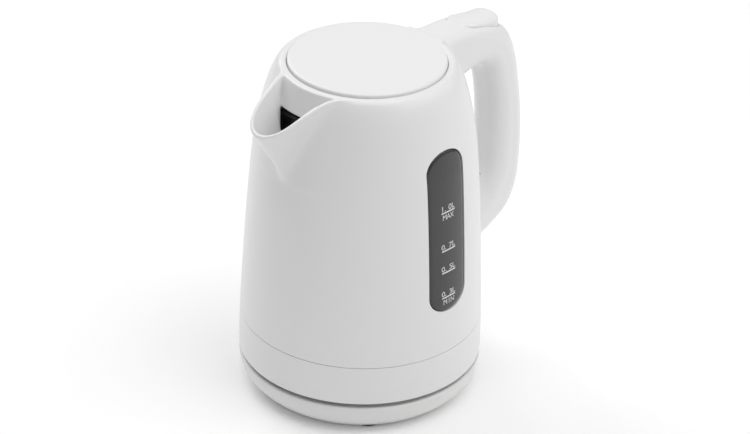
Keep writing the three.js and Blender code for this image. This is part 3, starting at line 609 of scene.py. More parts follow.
BEAK_CELL = 0.65
beak_box_low = (-50, -BEAK_TIP - 2, BEAK_PATCH_LOW - 3)
beak_box_high = (50, -28, JUG_TOP + 2)
beak = field_object("jug_beak", beak_patch, beak_box_low, beak_box_high, BEAK_CELL, jug_front)
finish(beak, WHITE, "white_gloss_plastic", "jug", "body_shell")

wall_outer = OUTER_PROFILE[OUTER_PROFILE[:, 1] > SEAM + 0.2]
above_floor = INNER_LINE[:, 1] > FLOOR_HEIGHT + 0.2
outside_neck = INNER_LINE[:, 0] > VISUAL_NECK_OUTER
wall_inner = INNER_LINE[above_floor & outside_neck][::-1]
LEDGE_RADIUS = box_mm("plate_seal")[1][0] - 3.5
LEDGE_HEIGHT = FLOOR_HEIGHT - 2
wall_outline = np.vstack([
    [(profile_radius(SEAM) - 0.06, SEAM), (profile_radius(SEAM) - 0.01, SEAM + 0.05)],
    wall_outer[:-1],
    [(TOP_EDGE[0] - 0.6, JUG_TOP)],
    bezier([(NECK_RADIUS + 0.7, JUG_TOP), (NECK_RADIUS + 0.3, JUG_TOP), (NECK_RADIUS, JUG_TOP - 0.3),
            (NECK_RADIUS, JUG_TOP - 0.7)], 5),
    [(NECK_RADIUS, NECK_BOTTOM + 0.4), (NECK_RADIUS + 0.4, NECK_BOTTOM)],
    [(VISUAL_NECK_OUTER - 0.4, NECK_BOTTOM), (VISUAL_NECK_OUTER, NECK_BOTTOM + 0.4)],
    [(VISUAL_NECK_OUTER, JUG_TOP - WALL)],
    wall_inner,
    [(profile_radius(FLOOR_HEIGHT, WALL), FLOOR_HEIGHT), (LEDGE_RADIUS, FLOOR_HEIGHT)],
    [(LEDGE_RADIUS, LEDGE_HEIGHT), (profile_radius(LEDGE_HEIGHT, WALL), LEDGE_HEIGHT)],
    [(profile_radius(SEAM, WALL), SEAM)],
])
wall = turned("jug_wall", wall_outline, 288)

WINDOW_LOW, WINDOW_HIGH, WINDOW_HALF_WIDTH, WINDOW_END = 71.3, 169.8, 14.4, 11.5


def window_outline(offset, steps=28):
    half, end = WINDOW_HALF_WIDTH + offset, WINDOW_END + offset
    rows = []
    for centre, start in ((WINDOW_HIGH - WINDOW_END, 0), (WINDOW_LOW + WINDOW_END, math.pi)):
        for angle in np.linspace(start, start + math.pi, steps + 1):
            rows.append((half * math.cos(angle), centre + end * math.sin(angle)))
    return np.array(rows)


angle = math.radians(BEAK_HALF_SECTOR)
wedge = np.array([(0, 0), (-140 * math.sin(angle), -140 * math.cos(angle)), (0, -200),
                  (140 * math.sin(angle), -140 * math.cos(angle))])
cut(wall, prism("wedge", wedge, BEAK_PATCH_LOW, JUG_TOP + 20, axis="Z"))
cut(wall, prism("window_cutter", window_outline(0), 50, 80))
hinge_low, hinge_high = box_mm("lid_hinge_pin")
HINGE_Y, HINGE_Z = (hinge_low[1] + hinge_high[1]) / 2, (hinge_low[2] + hinge_high[2]) / 2
POCKET_HALF = hinge_high[0] - 1.8
BARREL_RADIUS = 2.15
BARREL_CORNER = 2.1   # how far behind the pin the flat top of the barrel ends
BARREL_PLAY = 0.06
SWEEP = math.hypot(BARREL_CORNER, JUG_TOP - HINGE_Z) + BARREL_PLAY   # of that corner as the lid opens
POCKET_BACK = BARREL_CORNER + 0.08
POCKET_FRONT_Y, POCKET_FLOOR_Z = HINGE_Y - 3, HINGE_Z - 2.6
pocket_outline = np.array([
    (POCKET_FRONT_Y, POCKET_FLOOR_Z),
    (HINGE_Y + 1.6, POCKET_FLOOR_Z),
    *arc_points((HINGE_Y, HINGE_Z), SWEEP, -50, math.degrees(math.acos(POCKET_BACK / SWEEP)), 12),
    (HINGE_Y + POCKET_BACK, JUG_TOP + 3),
    (POCKET_FRONT_Y, JUG_TOP + 3),
])
cut(wall, prism("pocket_cutter", pocket_outline, -POCKET_HALF, POCKET_HALF))
latch_low, latch_high = box_mm("latch_slider")
LATCH_PLAY = 0.3
passage = rectangle((46, latch_low[2] - LATCH_PLAY), (70, latch_low[2] + 4.8))
cut(wall, prism("latch_cutter", passage, latch_low[0] - LATCH_PLAY, latch_high[0] + LATCH_PLAY))
shade_from(wall, body_field)
finish(wall, WHITE, "white_gloss_plastic", "jug", "body_shell")

# ---------------------------------------------------------------- handle

HANDLE_HALF_WIDTH = box_mm("handle_shell")[1][0]
HANDLE_ROUNDING = 10.0
ARM_SHARPER = 2.2   # less rounding along the top arm than down the grip
HANDLE_FILLET = 7
outer_line = chain(
    (40, JUG_TOP), [(66, JUG_TOP - 0.1)],
    [(80, 201.2), (92, 197.5), (101, 192.8)],
    [(112, 188.5), (117, 170), (120, 152)],
    [(123.5, 136.5), (125.5, 112), (124, 96)],
    [(123.8, 86), (120.5, 73.5), (111, 66)],
    [(103, 60.5), (84, 52), (62, 47.5)],
    [(50, 46)],
)
inner_line = chain(
    (47, 69), [(58, 71.5)],
    [(76, 76), (97.5, 80), (99.5, 103)],
    [(100.6, 120), (100, 139), (95.8, 156)],
    [(93.2, 166), (90.5, 172.8), (83, 172.6)],
    [(76, 172.4), (68, 169.5), (56, 166)],
)
handle_map = DistanceMap(np.vstack([outer_line, inner_line]), (36, 36), (136, MAP_TOP), MAP_STEP)
ARM_FROM, ARM_RISE = 178, 16   # the height where the sharper edges start, and over which they come in


def arch_field(p):
    rounding = HANDLE_ROUNDING - ARM_SHARPER * np.clip((p[:, 2] - ARM_FROM) / ARM_RISE, 0, 1) ** 2
    edge = handle_map(p[:, 1], p[:, 2]) + rounding
    side = np.abs(p[:, 0]) - (HANDLE_HALF_WIDTH - rounding)
    corner = np.hypot(np.maximum(edge, 0), np.maximum(side, 0))
    return corner + np.minimum(np.maximum(edge, side), 0) - rounding


def handle_shape(p):
    whole = blend_min(body_field(p), arch_field(p), HANDLE_FILLET)
    return blend_max(whole, p[:, 2] - (JUG_TOP - 0.01), 1.5)


def handle_patch(p):
    hollow = body_field(p) + 1.2
    skin = np.maximum(handle_shape(p) + 0.006, -hollow)
    neck = NECK_RADIUS - np.hypot(p[:, 0], p[:, 1])
    return np.maximum(blend_max(skin, neck, 0.9), arch_field(p) - HANDLE_FILLET)


HANDLE_CELL = 0.9
handle_box_high = (26, box_mm("handle_shell")[1][1] + 2, JUG_TOP + 2)
handle = field_object("handle", handle_patch, (-26, 40, 34), handle_box_high, HANDLE_CELL, handle_shape)

button_low, button_high = box_mm("release_button")
BUTTON_HALF = button_high[0]
BUTTON_TIP, BUTTON_BACK = 11, 8.5   # lengths of the half ovals at its two ends
BUTTON_PLAY = 0.3
WELL_FLOOR = 182.5                  # low enough for the pressed button


def button_outline(offset, steps=20):
    """The button from above: half an oval at its back and a longer one at its tip."""
    back_end = (button_high[1] - BUTTON_BACK, 0, BUTTON_BACK)
    front_end = (button_low[1] + BUTTON_TIP, math.pi, BUTTON_TIP)
    rows = []
    for centre, start, length in (back_end, front_end):
        for turn in np.linspace(start, start + math.pi, steps + 1):
            across = (BUTTON_HALF + offset) * math.cos(turn)
            rows.append((across, centre + (length + offset) * math.sin(turn)))
    return np.array(rows)


cut(handle, prism("well_cutter", button_outline(BUTTON_PLAY), WELL_FLOOR, JUG_TOP + 13, axis="Z"))
cut(handle, prism("pocket_cutter", pocket_outline, -POCKET_HALF, POCKET_HALF))
shade_from(handle, handle_shape)
finish(handle, WHITE, "white_gloss_plastic", "jug", "handle_shell", "handle_grip_cover")

button_side = chain(
    (66, 187), [(66, JUG_TOP - 0.2)],
    [(76, 201.2), (88, 200.5), (96, 200.2)],
    [(101, 200.2), (102.7, 198.5), (103.1, 192)],
    [(103.4, 187)],
)
BUTTON_CELL = 0.45
BUTTON_MAP_STEP = 0.25
button_side_map = DistanceMap(button_side, (60, 182), (110, 208), BUTTON_MAP_STEP)
button_plan_map = DistanceMap(button_outline(0), (-14, 62), (14, 108), BUTTON_MAP_STEP)
REAR_FROM, REAR_RISE = 76, 14        # where the button starts to crown, and over what length
CROWN_FRONT, CROWN_MORE = 0.4, 1.5
CROWN_HALF = 9.6                     # across from the middle to where the crown is at its full depth
EDGE_FRONT, EDGE_MORE = 1.0, 2.6     # rounding of its edge, likewise


def button_field(p):
    rear = np.clip((p[:, 1] - REAR_FROM) / REAR_RISE, 0, 1)
    crown = (CROWN_FRONT + CROWN_MORE * rear) * (p[:, 0] / CROWN_HALF) ** 2
    plan = button_plan_map(p[:, 0], p[:, 1])
    side = button_side_map(p[:, 1], p[:, 2] + crown)
    return blend_max(plan, side, EDGE_FRONT + EDGE_MORE * rear)


button = field_object("release_button", button_field, button_low - 2, button_high + 3, BUTTON_CELL)
finish(button, WHITE, "white_gloss_plastic", "button", "release_button")

# ---------------------------------------------------------------- window

window_map = DistanceMap(window_outline(-0.25), (-20, 64), (20, 180), 0.4)
PANE_RECESS = 0.08
PANE_BACK = 4.4


def pane_field(p):
    depth = body_field(p)
    slab = np.maximum(depth + PANE_RECESS, -(depth + PANE_BACK))
    return np.maximum(blend_max(slab, window_map(p[:, 1], p[:, 2]), 3.2), 40 - p[:, 0])


pane = field_object("level_window", pane_field, (52, -18, 68), (72, 18, 176), 0.8)
finish(pane, SMOKED, "smoked_window", "jug", "level_window")


def on_pane(points, lift=0.03):
    """Flat points (across, height), in millimetres, laid on the front of the pane."""
    rows = []
    for across, height in points:
        radius = profile_radius(height) - PANE_RECESS + lift
        rows.append((radius * math.cos(across / radius), radius * math.sin(across / radius), height))
    return rows


MARKS = {133.4: ("1.0L", "MAX"), 109.9: ("0.7L", ""), 96.2: ("0.5L", ""), 80.4: ("0.3L", "MIN")}
MARK_WIDTH = 10.5
MARK_LINE_HALF = 0.42
MARK_SPACE = 1.0      # between the middle of a line and the letters over or under it
PRINT_THICKNESS = 0.06


def printed(name, points, faces):
    """A thin print on the pane from flat points and faces."""
    front, back = on_pane(points, PRINT_THICKNESS), on_pane(points, -PRINT_THICKNESS)
    count = len(points)
    sides = []
    edges = {}
    for face in faces:
        for a, b in zip(face, face[1:] + face[:1]):
            edges[(a, b)] = True
    for a, b in edges:
        if (b, a) not in edges:
            sides.append([a, a + count, b + count, b])
    all_faces = list(faces) + [[v + count for v in face[::-1]] for face in faces] + sides
    piece = mesh_object(name, front + back, all_faces)
    face_outward(piece)
    finish(piece, PRINT, "base_plastic", "jug")


def print_line(name, height):
    steps = 12
    across = np.linspace(-MARK_WIDTH / 2, MARK_WIDTH / 2, steps + 1)
    points = [(a, height + h) for h in (-MARK_LINE_HALF, MARK_LINE_HALF) for a in across]
    faces = [[k, k + 1, k + steps + 2, k + steps + 1] for k in range(steps)]
    printed(name, points, faces)


def print_text(name, letters, baseline, height, widening):
    """Letters given as (character, place across) on one baseline."""
    points, faces = [], []
    for letter, across in letters:
        curve = bpy.data.curves.new(name, "FONT")
        curve.body, curve.size = letter, 1
        holder = new_object(name + "_curve", curve)
        graph = bpy.context.evaluated_depsgraph_get()
        mesh = bpy.data.meshes.new_from_object(holder.evaluated_get(graph))
        low, high = min(v.co.x for v in mesh.vertices), max(v.co.x for v in mesh.vertices)
        scale = height / CAPITAL_HEIGHT
        wide = scale * widening
        faces += [[v + len(points) for v in p.vertices] for p in mesh.polygons]
        for vertex in mesh.vertices:
            points.append((across + (vertex.co.x - (low + high) / 2) * wide, baseline + vertex.co.y * scale))
        bpy.data.objects.remove(holder)
        bpy.data.curves.remove(curve)
        bpy.data.meshes.remove(mesh)
    printed(name, points, faces)


CAPITAL_HEIGHT = 0.73   # of a letter one unit in size
VOLUME_WIDENING, WORD_WIDENING = 1.22, 0.92
VOLUME_PLACES = (-4.4, -2.5, 1.4, 4.1)
WORD_PLACES = (-2.9, 0.1, 2.8)
VOLUME_HEIGHT, WORD_HEIGHT = 3.3, 3.4
for height, (above, below) in MARKS.items():
    tag = above.replace(".", "_")
    print_line(f"mark_line_{tag}", height)
    baseline = height + MARK_SPACE
    print_text(f"mark_text_{tag}", zip(above, VOLUME_PLACES), baseline, VOLUME_HEIGHT, VOLUME_WIDENING)
    if below:
        baseline = height - MARK_SPACE - WORD_HEIGHT
        print_text(f"mark_{below.lower()}", zip(below, WORD_PLACES), baseline, WORD_HEIGHT, WORD_WIDENING)

# ---------------------------------------------------------------- collar and base

heights = OUTER_PROFILE[:, 1]
collar_outer = OUTER_PROFILE[(heights > JUG_BOTTOM + 1) & (heights < COLLAR_TOP - 0.4)]
collar_outline = np.vstack([
    [(JUG_RADIUS - 1.4, JUG_BOTTOM), (JUG_RADIUS - 0.7, JUG_BOTTOM + 0.1)],
    [(JUG_RADIUS - 0.15, JUG_BOTTOM + 0.5)],
    collar_outer,
    [(profile_radius(COLLAR_TOP) - 0.01, COLLAR_TOP - 0.05)],
    [(profile_radius(COLLAR_TOP) - 0.06, COLLAR_TOP)],
    [(JUG_RADIUS - WALL, COLLAR_TOP), (JUG_RADIUS - WALL, JUG_BOTTOM)],
])
collar = turned("lower_collar", collar_outline, 288)
rocker_low, rocker_high = box_mm("switch_rocker")
PIN_Z = (box_mm("switch_pin")[0][2] + box_mm("switch_pin")[1][2]) / 2
slot_half = rocker_high[0] + 0.8
slot_outline = rounded(rectangle((-slot_half, PIN_Z - 8.5), (slot_half, PIN_Z + 5)), 1.5)
slot_cutter = prism("slot_cutter", slot_outline, 50, 80)
slot_cutter.data.transform(Matrix.Rotation(math.radians(90), 4, "Z"))
cut(collar, slot_cutter)
shade_from(collar, body_field)
finish(collar, WHITE, "white_gloss_plastic", "jug", "lower_collar")

BASE_FLARE = 9.0
BASE_CURVE = 2.4
BASE_FOOT_RADIUS = BASE_RADIUS - BASE_FLARE
DECK_SINK = 1.3
DECK_GROOVE_INSIDE = 60
BASE_SKIN = 1.6
groove_floor = BASE_TOP - DECK_SINK
depth = np.linspace(1, 0, 30)
base_side = np.column_stack([
    BASE_FOOT_RADIUS + BASE_FLARE * (1 - depth**BASE_CURVE),
    BASE_TOP - 0.7 - depth * (BASE_TOP - 0.7 - BASE_BOTTOM),
])
SOCKET_RADIUS = box_mm("base_socket")[1][0]
base_outline = np.vstack([
    base_side,
    [(BASE_RADIUS - 0.2, BASE_TOP - 0.25), (BASE_RADIUS - 0.6, BASE_TOP)],
    [(BASE_RADIUS - 1.9, BASE_TOP - 0.05), (BASE_RADIUS - 2.4, BASE_TOP - 0.6)],
    [(BASE_RADIUS - 3.0, groove_floor), (DECK_GROOVE_INSIDE, groove_floor)],
    [(DECK_GROOVE_INSIDE - 0.6, BASE_TOP), (SOCKET_RADIUS + 5, BASE_TOP), (SOCKET_RADIUS + 0.5, BASE_TOP)],
    [(SOCKET_RADIUS + 0.3, BASE_TOP - 0.3), (SOCKET_RADIUS + 0.3, BASE_TOP - 2.4)],
    [(SOCKET_RADIUS + 6, groove_floor - BASE_SKIN), (BASE_RADIUS - 4.5, groove_floor - BASE_SKIN)],
    [(BASE_FOOT_RADIUS - 2.2, BASE_BOTTOM)],
])
base = turned("base_cover", base_outline, 256)
finish(base, BASE_WHITE, "base_plastic", "power_base", "base_cover")

# ---------------------------------------------------------------- lid

CAP_INSIDE = LID_RADIUS - 2.6
CAP_CEILING, CAP_BOTTOM = LID_TOP - 2.9, LID_TOP - 7.8
cap_outline = np.vstack([
    [(0, CAP_CEILING), (CAP_INSIDE, CAP_CEILING), (CAP_INSIDE, CAP_BOTTOM), (LID_RADIUS, CAP_BOTTOM)],
    [(LID_RADIUS, LID_TOP - 3.0)],
    bezier([(LID_RADIUS, LID_TOP - 2.3), (LID_RADIUS, LID_TOP - 0.9), (LID_RADIUS - 0.5, LID_TOP - 0.55),
            (LID_RADIUS - 2.2, LID_TOP - 0.45)], 8),
    bezier([(LID_RADIUS - 2.2, LID_TOP - 0.45), (30, LID_TOP - 0.2), (15, LID_TOP), (0, LID_TOP)], 14),
])
cap = turned("lid_cap", cap_outline, 256)
finish(cap, SATIN_WHITE, "white_gloss_plastic", "lid", "lid_cap")

# a barrel round the hinge pin closes the pocket behind the lid at every angle
BARREL_HALF = POCKET_HALF - BARREL_PLAY
BARREL_FRONT_Y = 41.2
BARREL_TOP = JUG_TOP - 0.02
PIN_BORE = (hinge_high[2] - hinge_low[2]) / 2 + 0.1
barrel_line = [
    (HINGE_Y + BARREL_CORNER, BARREL_TOP),
    (BARREL_FRONT_Y, BARREL_TOP),
    (BARREL_FRONT_Y, HINGE_Z - 0.4),
    *arc_points((HINGE_Y, HINGE_Z), BARREL_RADIUS, -170, 0, 19),
]
barrel = prism("lid_barrel", barrel_line, -BARREL_HALF, BARREL_HALF)
cut(barrel, prism("bore_cutter", circle((HINGE_Y, HINGE_Z), PIN_BORE, 24), -20, 20))
finish(barrel, WHITE, "white_gloss_plastic", "lid", "lid_cap")

# ---------------------------------------------------------------- round pieces, mostly hidden at rest


def round_piece(name, outline, look, slot, body, facets=160, rounding=0.3, centre=(0, 0)):
    """A turned piece that stands for the CAD node of the same name."""
    piece = turned(name + "_round", rounded(outline, rounding), facets, centre)
    finish(piece, look, slot, body, name)


def round_size(node):
    """Radius, bottom and top of a round CAD node on the axis."""
    low, high = box_mm(node)
    return high[0], low[2], high[2]


def node_ring(node, inner=0.0):
    """The section of a round CAD node on the axis, from an inner radius out."""
    radius, bottom, top = round_size(node)
    return rectangle((inner, bottom), (radius, top))


PAN_RADIUS, PAN_BOTTOM, PAN_TOP = round_size("lid_pan")
PAN_WALL = 2.0
PAN_INSIDE, PAN_FLOOR = PAN_RADIUS - PAN_WALL, PAN_BOTTOM + PAN_WALL + 0.4
GROOVE_LOW, GROOVE_TOP, GROOVE_RADIUS = PAN_BOTTOM + 7.3, PAN_BOTTOM + 9.7, PAN_RADIUS - 0.6
pan_outline = rounded([
    (30, PAN_BOTTOM + 0.5), (PAN_RADIUS - 0.01, PAN_BOTTOM + 0.5), (PAN_RADIUS, GROOVE_LOW),
    (GROOVE_RADIUS, GROOVE_LOW), (GROOVE_RADIUS, GROOVE_TOP), (PAN_RADIUS, GROOVE_TOP),
    (PAN_RADIUS, PAN_TOP), (PAN_INSIDE, PAN_TOP), (PAN_INSIDE, PAN_FLOOR), (28, PAN_FLOOR),
], [0, 1.8, 0.1, 0, 0, 0.1, 0.3, 0.3, 1, 0])
pan_middle = [(0, PAN_BOTTOM + 0.8), (27, PAN_BOTTOM + 0.8)]
pan = turned("lid_pan_round", np.vstack([pan_middle, pan_outline, [(0, PAN_FLOOR)]]), 192)
finish(pan, SATIN_WHITE, "white_gloss_plastic", "lid", "lid_pan")
GASKET_OUT, GASKET_LOW, GASKET_TOP = round_size("lid_gasket")
gasket_outline = [
    (PAN_RADIUS - 0.3, GASKET_LOW), (GASKET_OUT - 1.3, GASKET_LOW), (GASKET_OUT, GASKET_LOW + 1.1),
    (GASKET_OUT - 1.3, GASKET_TOP), (PAN_RADIUS - 0.3, GASKET_TOP),
]
round_piece("lid_gasket", gasket_outline, SILICONE, "silicone", "lid", 192, 0.25)

PLATE_R, PLATE_Z, PLATE_TOP = round_size("heating_plate")
plate_outline = [
    (0, PLATE_Z), (PLATE_R, PLATE_Z), (PLATE_R, PLATE_TOP - 1), (61.5, PLATE_TOP - 1), (60, PLATE_TOP - 1.5),
    (58, PLATE_TOP - 0.4), (56, PLATE_TOP - 0.2), (30, PLATE_TOP), (0, PLATE_TOP),
]
plate_rounding = [0, 0.3, 0.3, 0.5, 0.8, 0.8, 2, 2, 0]
round_piece("heating_plate", plate_outline, STEEL, "steel", "jug", 192, plate_rounding)
SEAL_WIDTH = 3.4
seal_outline = node_ring("plate_seal", round_size("plate_seal")[0] - SEAL_WIDTH)
round_piece("plate_seal", seal_outline, SILICONE, "silicone", "jug", 192)

_, SOCKET_LOW, SOCKET_TOP = round_size("base_socket")
CONTACT_OUT, CONTACT_LOW, _ = round_size("ring_contact")
CONTACT_WIDTH = 1.0
SLOT_PLAY = 0.9
PIN_R = round_size("centre_contact")[0]
SLOT_FLOOR = CONTACT_LOW - 0.3
slot_inner, slot_outer = CONTACT_OUT - CONTACT_WIDTH - SLOT_PLAY, CONTACT_OUT + SLOT_PLAY
socket_outline = [
    (0, SOCKET_LOW), (SOCKET_RADIUS, SOCKET_LOW), (SOCKET_RADIUS, SOCKET_TOP - 3),
    (SOCKET_RADIUS - 1.4, SOCKET_TOP), (slot_outer, SOCKET_TOP), (slot_outer, SLOT_FLOOR),
    (slot_inner, SLOT_FLOOR), (slot_inner, SOCKET_TOP), (PIN_R + 1, SOCKET_TOP), (PIN_R + 1, SLOT_FLOOR),
    (0, SLOT_FLOOR),
]
socket_rounding = [0, 0.5, 1.5, 1.0, 0.4, 0.2, 0.2, 0.4, 0.4, 0.2, 0]
round_piece("base_socket", socket_outline, BASE_WHITE, "white_gloss_plastic", "power_base",
            160, socket_rounding)
for node, body in (("ring_contact", "power_base"), ("connector_ring", "connector")):
    round_piece(node, node_ring(node, CONTACT_OUT - CONTACT_WIDTH), BRASS, "brass", body, 96, 0.2)
for node, body in (("centre_contact", "power_base"), ("connector_pin", "connector")):
    round_piece(node, node_ring(node), BRASS, "brass", body, 48, [0, 0.5, 0.3, 0])

HOUSING_R, HOUSING_LOW, HOUSING_TOP = round_size("connector_housing")
HOLLOW_R, HOLLOW_TOP = SOCKET_RADIUS + 0.6, SOCKET_TOP + 2.4
housing_outline = [
    (0, HOLLOW_TOP), (HOLLOW_R, HOLLOW_TOP), (HOLLOW_R, HOUSING_LOW),
    (HOUSING_R, HOUSING_LOW), (HOUSING_R, HOUSING_TOP), (0, HOUSING_TOP),
]
round_piece("connector_housing", housing_outline, WHITE, "white_gloss_plastic", "connector",
            160, [0, 0.3, 0.3, 0.3, 0.6, 0])
COVER_R, STAND_LOW, COVER_TOP = round_size("bottom_cover")
COVER_LOW = JUG_BOTTOM + 0.3
COVER_INSIDE = HOUSING_R + 0.3
COVER_SKIN = 2
STAND_INSIDE, STAND_OUTSIDE = 54.5, 58.0
cover_outline = [
    (COVER_INSIDE, COVER_LOW), (STAND_INSIDE, COVER_LOW), (STAND_INSIDE, STAND_LOW),
    (STAND_OUTSIDE, STAND_LOW), (STAND_OUTSIDE, COVER_LOW), (COVER_R, COVER_LOW),
    (COVER_R, COVER_LOW + COVER_SKIN), (COVER_INSIDE + COVER_SKIN, COVER_LOW + COVER_SKIN),
    (COVER_INSIDE + COVER_SKIN, COVER_TOP), (COVER_INSIDE, COVER_TOP),
]
round_piece("bottom_cover", cover_outline, WHITE, "white_gloss_plastic", "jug", 192, 0.35)

PAD_HEIGHT, PLUG_RADIUS = 1.1, 5
for i in range(1, 5):
    node = f"base_foot_{i}"
    low, high = box_mm(node)
    centre = ((low[0] + high[0]) / 2, (low[1] + high[1]) / 2)
    pad = (high[0] - low[0]) / 2
    foot_outline = [
        (0, low[2]), (pad, low[2]), (pad, low[2] + PAD_HEIGHT), (PLUG_RADIUS, low[2] + PAD_HEIGHT),
        (PLUG_RADIUS, high[2]), (0, high[2]),
    ]
    round_piece(node, foot_outline, RUBBER, "foot_rubber", "power_base",
                64, [0, 0.3, 0.3, 0, 0.2, 0], centre)

# woven wire of the filter, in front of its dark frame; the wire's dark steel colour is painted shade
mesh_low, mesh_high = box_mm("spout_filter_mesh")
WIRE_PITCH = 0.9
WIRE_RADIUS = 0.13
WIRE_EDGE = 0.4        # from the edge of the mesh to its first wire
WIRE_CROSSING = 0.1    # the two rows of wires lie this far before and behind the middle
wire_y = (mesh_low[1] + mesh_high[1]) / 2
points, faces = [], []


def add_wire(start, end, across):
    """A square wire from start to end; across is the direction of its width in the plane of the weave."""
    first = len(points)
    for place in (start, end):
        for du, dy in ((-1, -1), (1, -1), (1, 1), (-1, 1)):
            points.append(np.array(place) + WIRE_RADIUS * (du * np.array(across) + np.array([0, dy, 0])))
    for k in range(4):
        after = (k + 1) % 4
        faces.append([first + k, first + after, first + 4 + after, first + 4 + k])
    faces.extend([[first + 3, first + 2, first + 1, first], [first + 4, first + 5, first + 6, first + 7]])


for x in np.arange(mesh_low[0] + WIRE_EDGE, mesh_high[0], WIRE_PITCH):
    y = wire_y - WIRE_CROSSING
    add_wire((x, y, mesh_low[2]), (x, y, mesh_high[2]), (1, 0, 0))
for z in np.arange(mesh_low[2] + WIRE_EDGE, mesh_high[2], WIRE_PITCH):
    y = wire_y + WIRE_CROSSING
    add_wire((mesh_low[0], y, z), (mesh_high[0], y, z), (0, 0, 1))
weave = mesh_object("filter_weave", points, faces)
face_outward(weave)
finish(weave, FILTER_STEEL_PAINTED_SHADE, "filter_steel", "jug", "spout_filter_mesh")

# ---------------------------------------------------------------- rocker switch and cord outlet

PIN_Y = (box_mm("switch_pin")[0][1] + box_mm("switch_pin")[1][1]) / 2
ROCKER_HALF, ROCKER_BACK, ROCKER_END = rocker_high[0], rocker_low[1], rocker_high[1]
rocker_line = np.vstack([
    [(ROCKER_BACK, PIN_Z - 1.5), (PIN_Y, PIN_Z - 3), (74, PIN_Z - 4)],
    chain((ROCKER_END - 2.5, PIN_Z - 3.4), [(ROCKER_END, PIN_Z - 3), (ROCKER_END, PIN_Z + 1),
                                           (ROCKER_END - 2.5, PIN_Z + 1)], steps=14),
    [(PIN_Y, PIN_Z + 3), (ROCKER_BACK, PIN_Z + 1.5)],
])
rocker = prism("switch_rocker_smooth", rocker_line, -ROCKER_HALF, ROCKER_HALF)
ROCKER_BORE = 1.3
cut(rocker, prism("bore_cutter", circle((PIN_Y, PIN_Z), ROCKER_BORE, 24), -20, 20))
lens_low, lens_high = box_mm("switch_lens")
LENS_PLAY = 0.3
lens_pocket = rectangle(lens_low[:2] - LENS_PLAY, lens_high[:2] + LENS_PLAY)
cut(rocker, prism("lens_cutter", rounded(lens_pocket, 0.5), lens_low[2] - LENS_PLAY, 60, axis="Z"))
bevelled(rocker, 0.5)
finish(rocker, SATIN_WHITE, "white_gloss_plastic", "switch", "switch_rocker")
lens_plan = rectangle(lens_low, lens_high)
amber = prism("switch_lens_smooth", rounded(lens_plan, 0.4), lens_low[2], lens_high[2], axis="Z")
bevelled(amber, 0.25)
finish(amber, AMBER, "amber_lens", "switch", "switch_lens")

gland_low, gland_high = box_mm("cord_gland")
GLAND_Z = (gland_low[2] + gland_high[2]) / 2
GLAND_R, GLAND_BORE = gland_high[0], 3.2
GLAND_NOSE = GLAND_R - 0.7
gland_outline = rounded([
    (GLAND_BORE, gland_low[1]), (GLAND_R, gland_low[1]), (GLAND_R, gland_high[1] - 2.6),
    (GLAND_NOSE, gland_high[1] - 2.2), (GLAND_NOSE, gland_high[1]), (GLAND_BORE, gland_high[1]),
], 0.25)
gland = turned("cord_gland_round", gland_outline, 64)
gland.data.transform(Matrix.Rotation(math.radians(-90), 4, "X"))
gland.data.transform(Matrix.Translation((0, 0, GLAND_Z * MM)))
finish(gland, BLACK, "black_plastic", "power_base", "cord_gland")
outlet_cutter = prism("outlet_cutter", circle((0, GLAND_Z), GLAND_R + 0.3, 48), 52, 90)
outlet_cutter.data.transform(Matrix.Rotation(math.radians(90), 4, "Z"))
cut(base, outlet_cutter)

# ---------------------------------------------------------------- carried-over nodes

PLAIN = {
    WHITE: ["steam_tube", "trip_rod"],
    BASE_WHITE: ["base_bottom_plate"],
    BLACK: ["plate_clamp", "control_block", "latch_slider", "lid_catch", "spout_filter_frame"],
    SILICONE: ["window_gasket"],
    STEEL: ["heating_element", "button_spring", "handle_screw", "lid_hinge_pin", "switch_pin"]
    + [f"{where}_screw_{i}" for where in ("bottom", "base") for i in (1, 2, 3)],
    ALUMINIUM: ["heat_spreader"],
    BRASS: ["dry_boil_disc_left", "dry_boil_disc_right", "element_terminal_left", "element_terminal_right"],
}
EDGE_SOFTENED = (*PLAIN[BLACK], *PLAIN[BASE_WHITE])
for look, names in PLAIN.items():
    for name in names:
        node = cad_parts[name]
        node.data.materials.clear()
        node.data.materials.append(look)
        if name in EDGE_SOFTENED:
            bevelled(node, 0.2, 2)

# ---------------------------------------------------------------- camera, floor and light

LENS_FOCAL_PIXELS = 2930.8
PHOTO_WIDTH = 750
CAMERA_DISTANCE = 1704.6
CAMERA_AZIMUTH = math.radians(43.6)
CAMERA_ELEVATION = 0.56908
AIM_HEIGHT = 21
CAMERA_TURNS = (-0.00412, 0.04132, -0.02816)   # yaw, pitch and roll off the line to the aim point

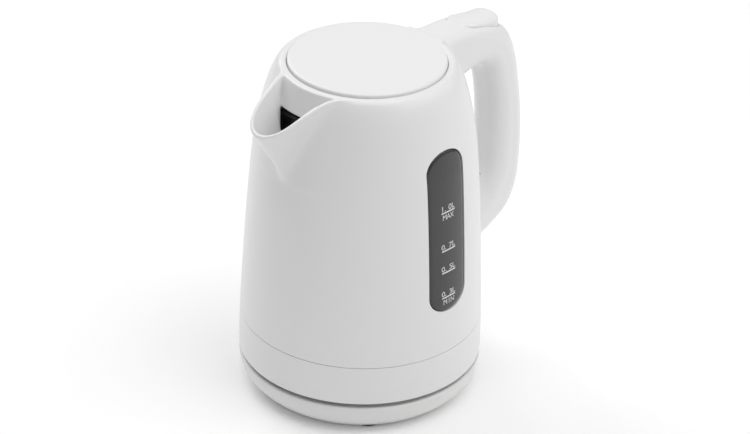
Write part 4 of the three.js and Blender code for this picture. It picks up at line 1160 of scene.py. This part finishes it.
direction = Vector((
    math.sin(CAMERA_AZIMUTH) * math.cos(CAMERA_ELEVATION),
    -math.cos(CAMERA_AZIMUTH) * math.cos(CAMERA_ELEVATION),
    math.sin(CAMERA_ELEVATION),
))
lens = bpy.data.cameras.new("camera")
lens.sensor_width = 36
lens.lens = LENS_FOCAL_PIXELS / PHOTO_WIDTH * lens.sensor_width
lens.clip_start, lens.clip_end = 0.05, 50
camera = new_object("camera", lens)
bpy.context.scene.camera = camera
forward = -direction
right = forward.cross(Vector((0, 0, 1))).normalized()
upward = right.cross(forward)
yaw, pitch, roll = CAMERA_TURNS
yaw_turn = Matrix.Rotation(yaw, 3, upward)
forward, right = yaw_turn @ forward, yaw_turn @ right
pitch_turn = Matrix.Rotation(pitch, 3, right)
forward, upward = pitch_turn @ forward, pitch_turn @ upward
roll_turn = Matrix.Rotation(roll, 3, forward)
right, upward = roll_turn @ right, roll_turn @ upward
place = (direction * CAMERA_DISTANCE + Vector((0, 0, AIM_HEIGHT))) * MM
turn = Matrix((right, upward, -forward)).transposed().to_4x4()
camera.matrix_world = Matrix.Translation(place) @ turn

floor_mesh = bpy.data.meshes.new("floor")
FLOOR_HALF = 3.0
floor_corners = [(x, y, 0) for x, y in rectangle((-FLOOR_HALF, -FLOOR_HALF), (FLOOR_HALF, FLOOR_HALF))]
floor_mesh.from_pydata(floor_corners, [], [(0, 1, 2, 3)])
floor = new_object("floor", floor_mesh)
PAPER = material("floor_paper", (0.97, 0.97, 0.97), 0.8, grain=0.2, grain_size=1.5, mottle=0.004,
                 emission_color=(1, 1, 1, 1), emission_strength=0.05)
floor.data.materials.append(PAPER)

world = bpy.data.worlds.new("studio")
bpy.context.scene.world = world
world.use_nodes = True
world.node_tree.nodes["Background"].inputs["Color"].default_value = (1, 1, 1, 1)
world.node_tree.nodes["Background"].inputs["Strength"].default_value = 0.35


def softbox(name, azimuth, elevation, distance, size, power, target=(0, 0, 0.1)):
    """A square area light; azimuth is counted like the camera's, from -Y towards +X."""
    lamp = bpy.data.lights.new(name, "AREA")
    lamp.size, lamp.energy = size, power
    holder = new_object(name, lamp)
    a, e = math.radians(azimuth), math.radians(elevation)
    back = Vector((math.sin(a) * math.cos(e), -math.cos(a) * math.cos(e), math.sin(e)))
    holder.location = Vector(target) + back * distance
    holder.rotation_mode = "QUATERNION"
    holder.rotation_quaternion = (-back).to_track_quat("-Z", "Y")


softbox("key_right", 108, 48, 1.6, 1.5, 7.9)
softbox("left_rim", -95, 36, 1.7, 1.2, 11.4)
softbox("top", 60, 85, 1.4, 1.2, 7.4)
softbox("right_back", 150, 30, 1.6, 1.2, 2.5)

bpy.context.scene.view_settings.view_transform = "Standard"
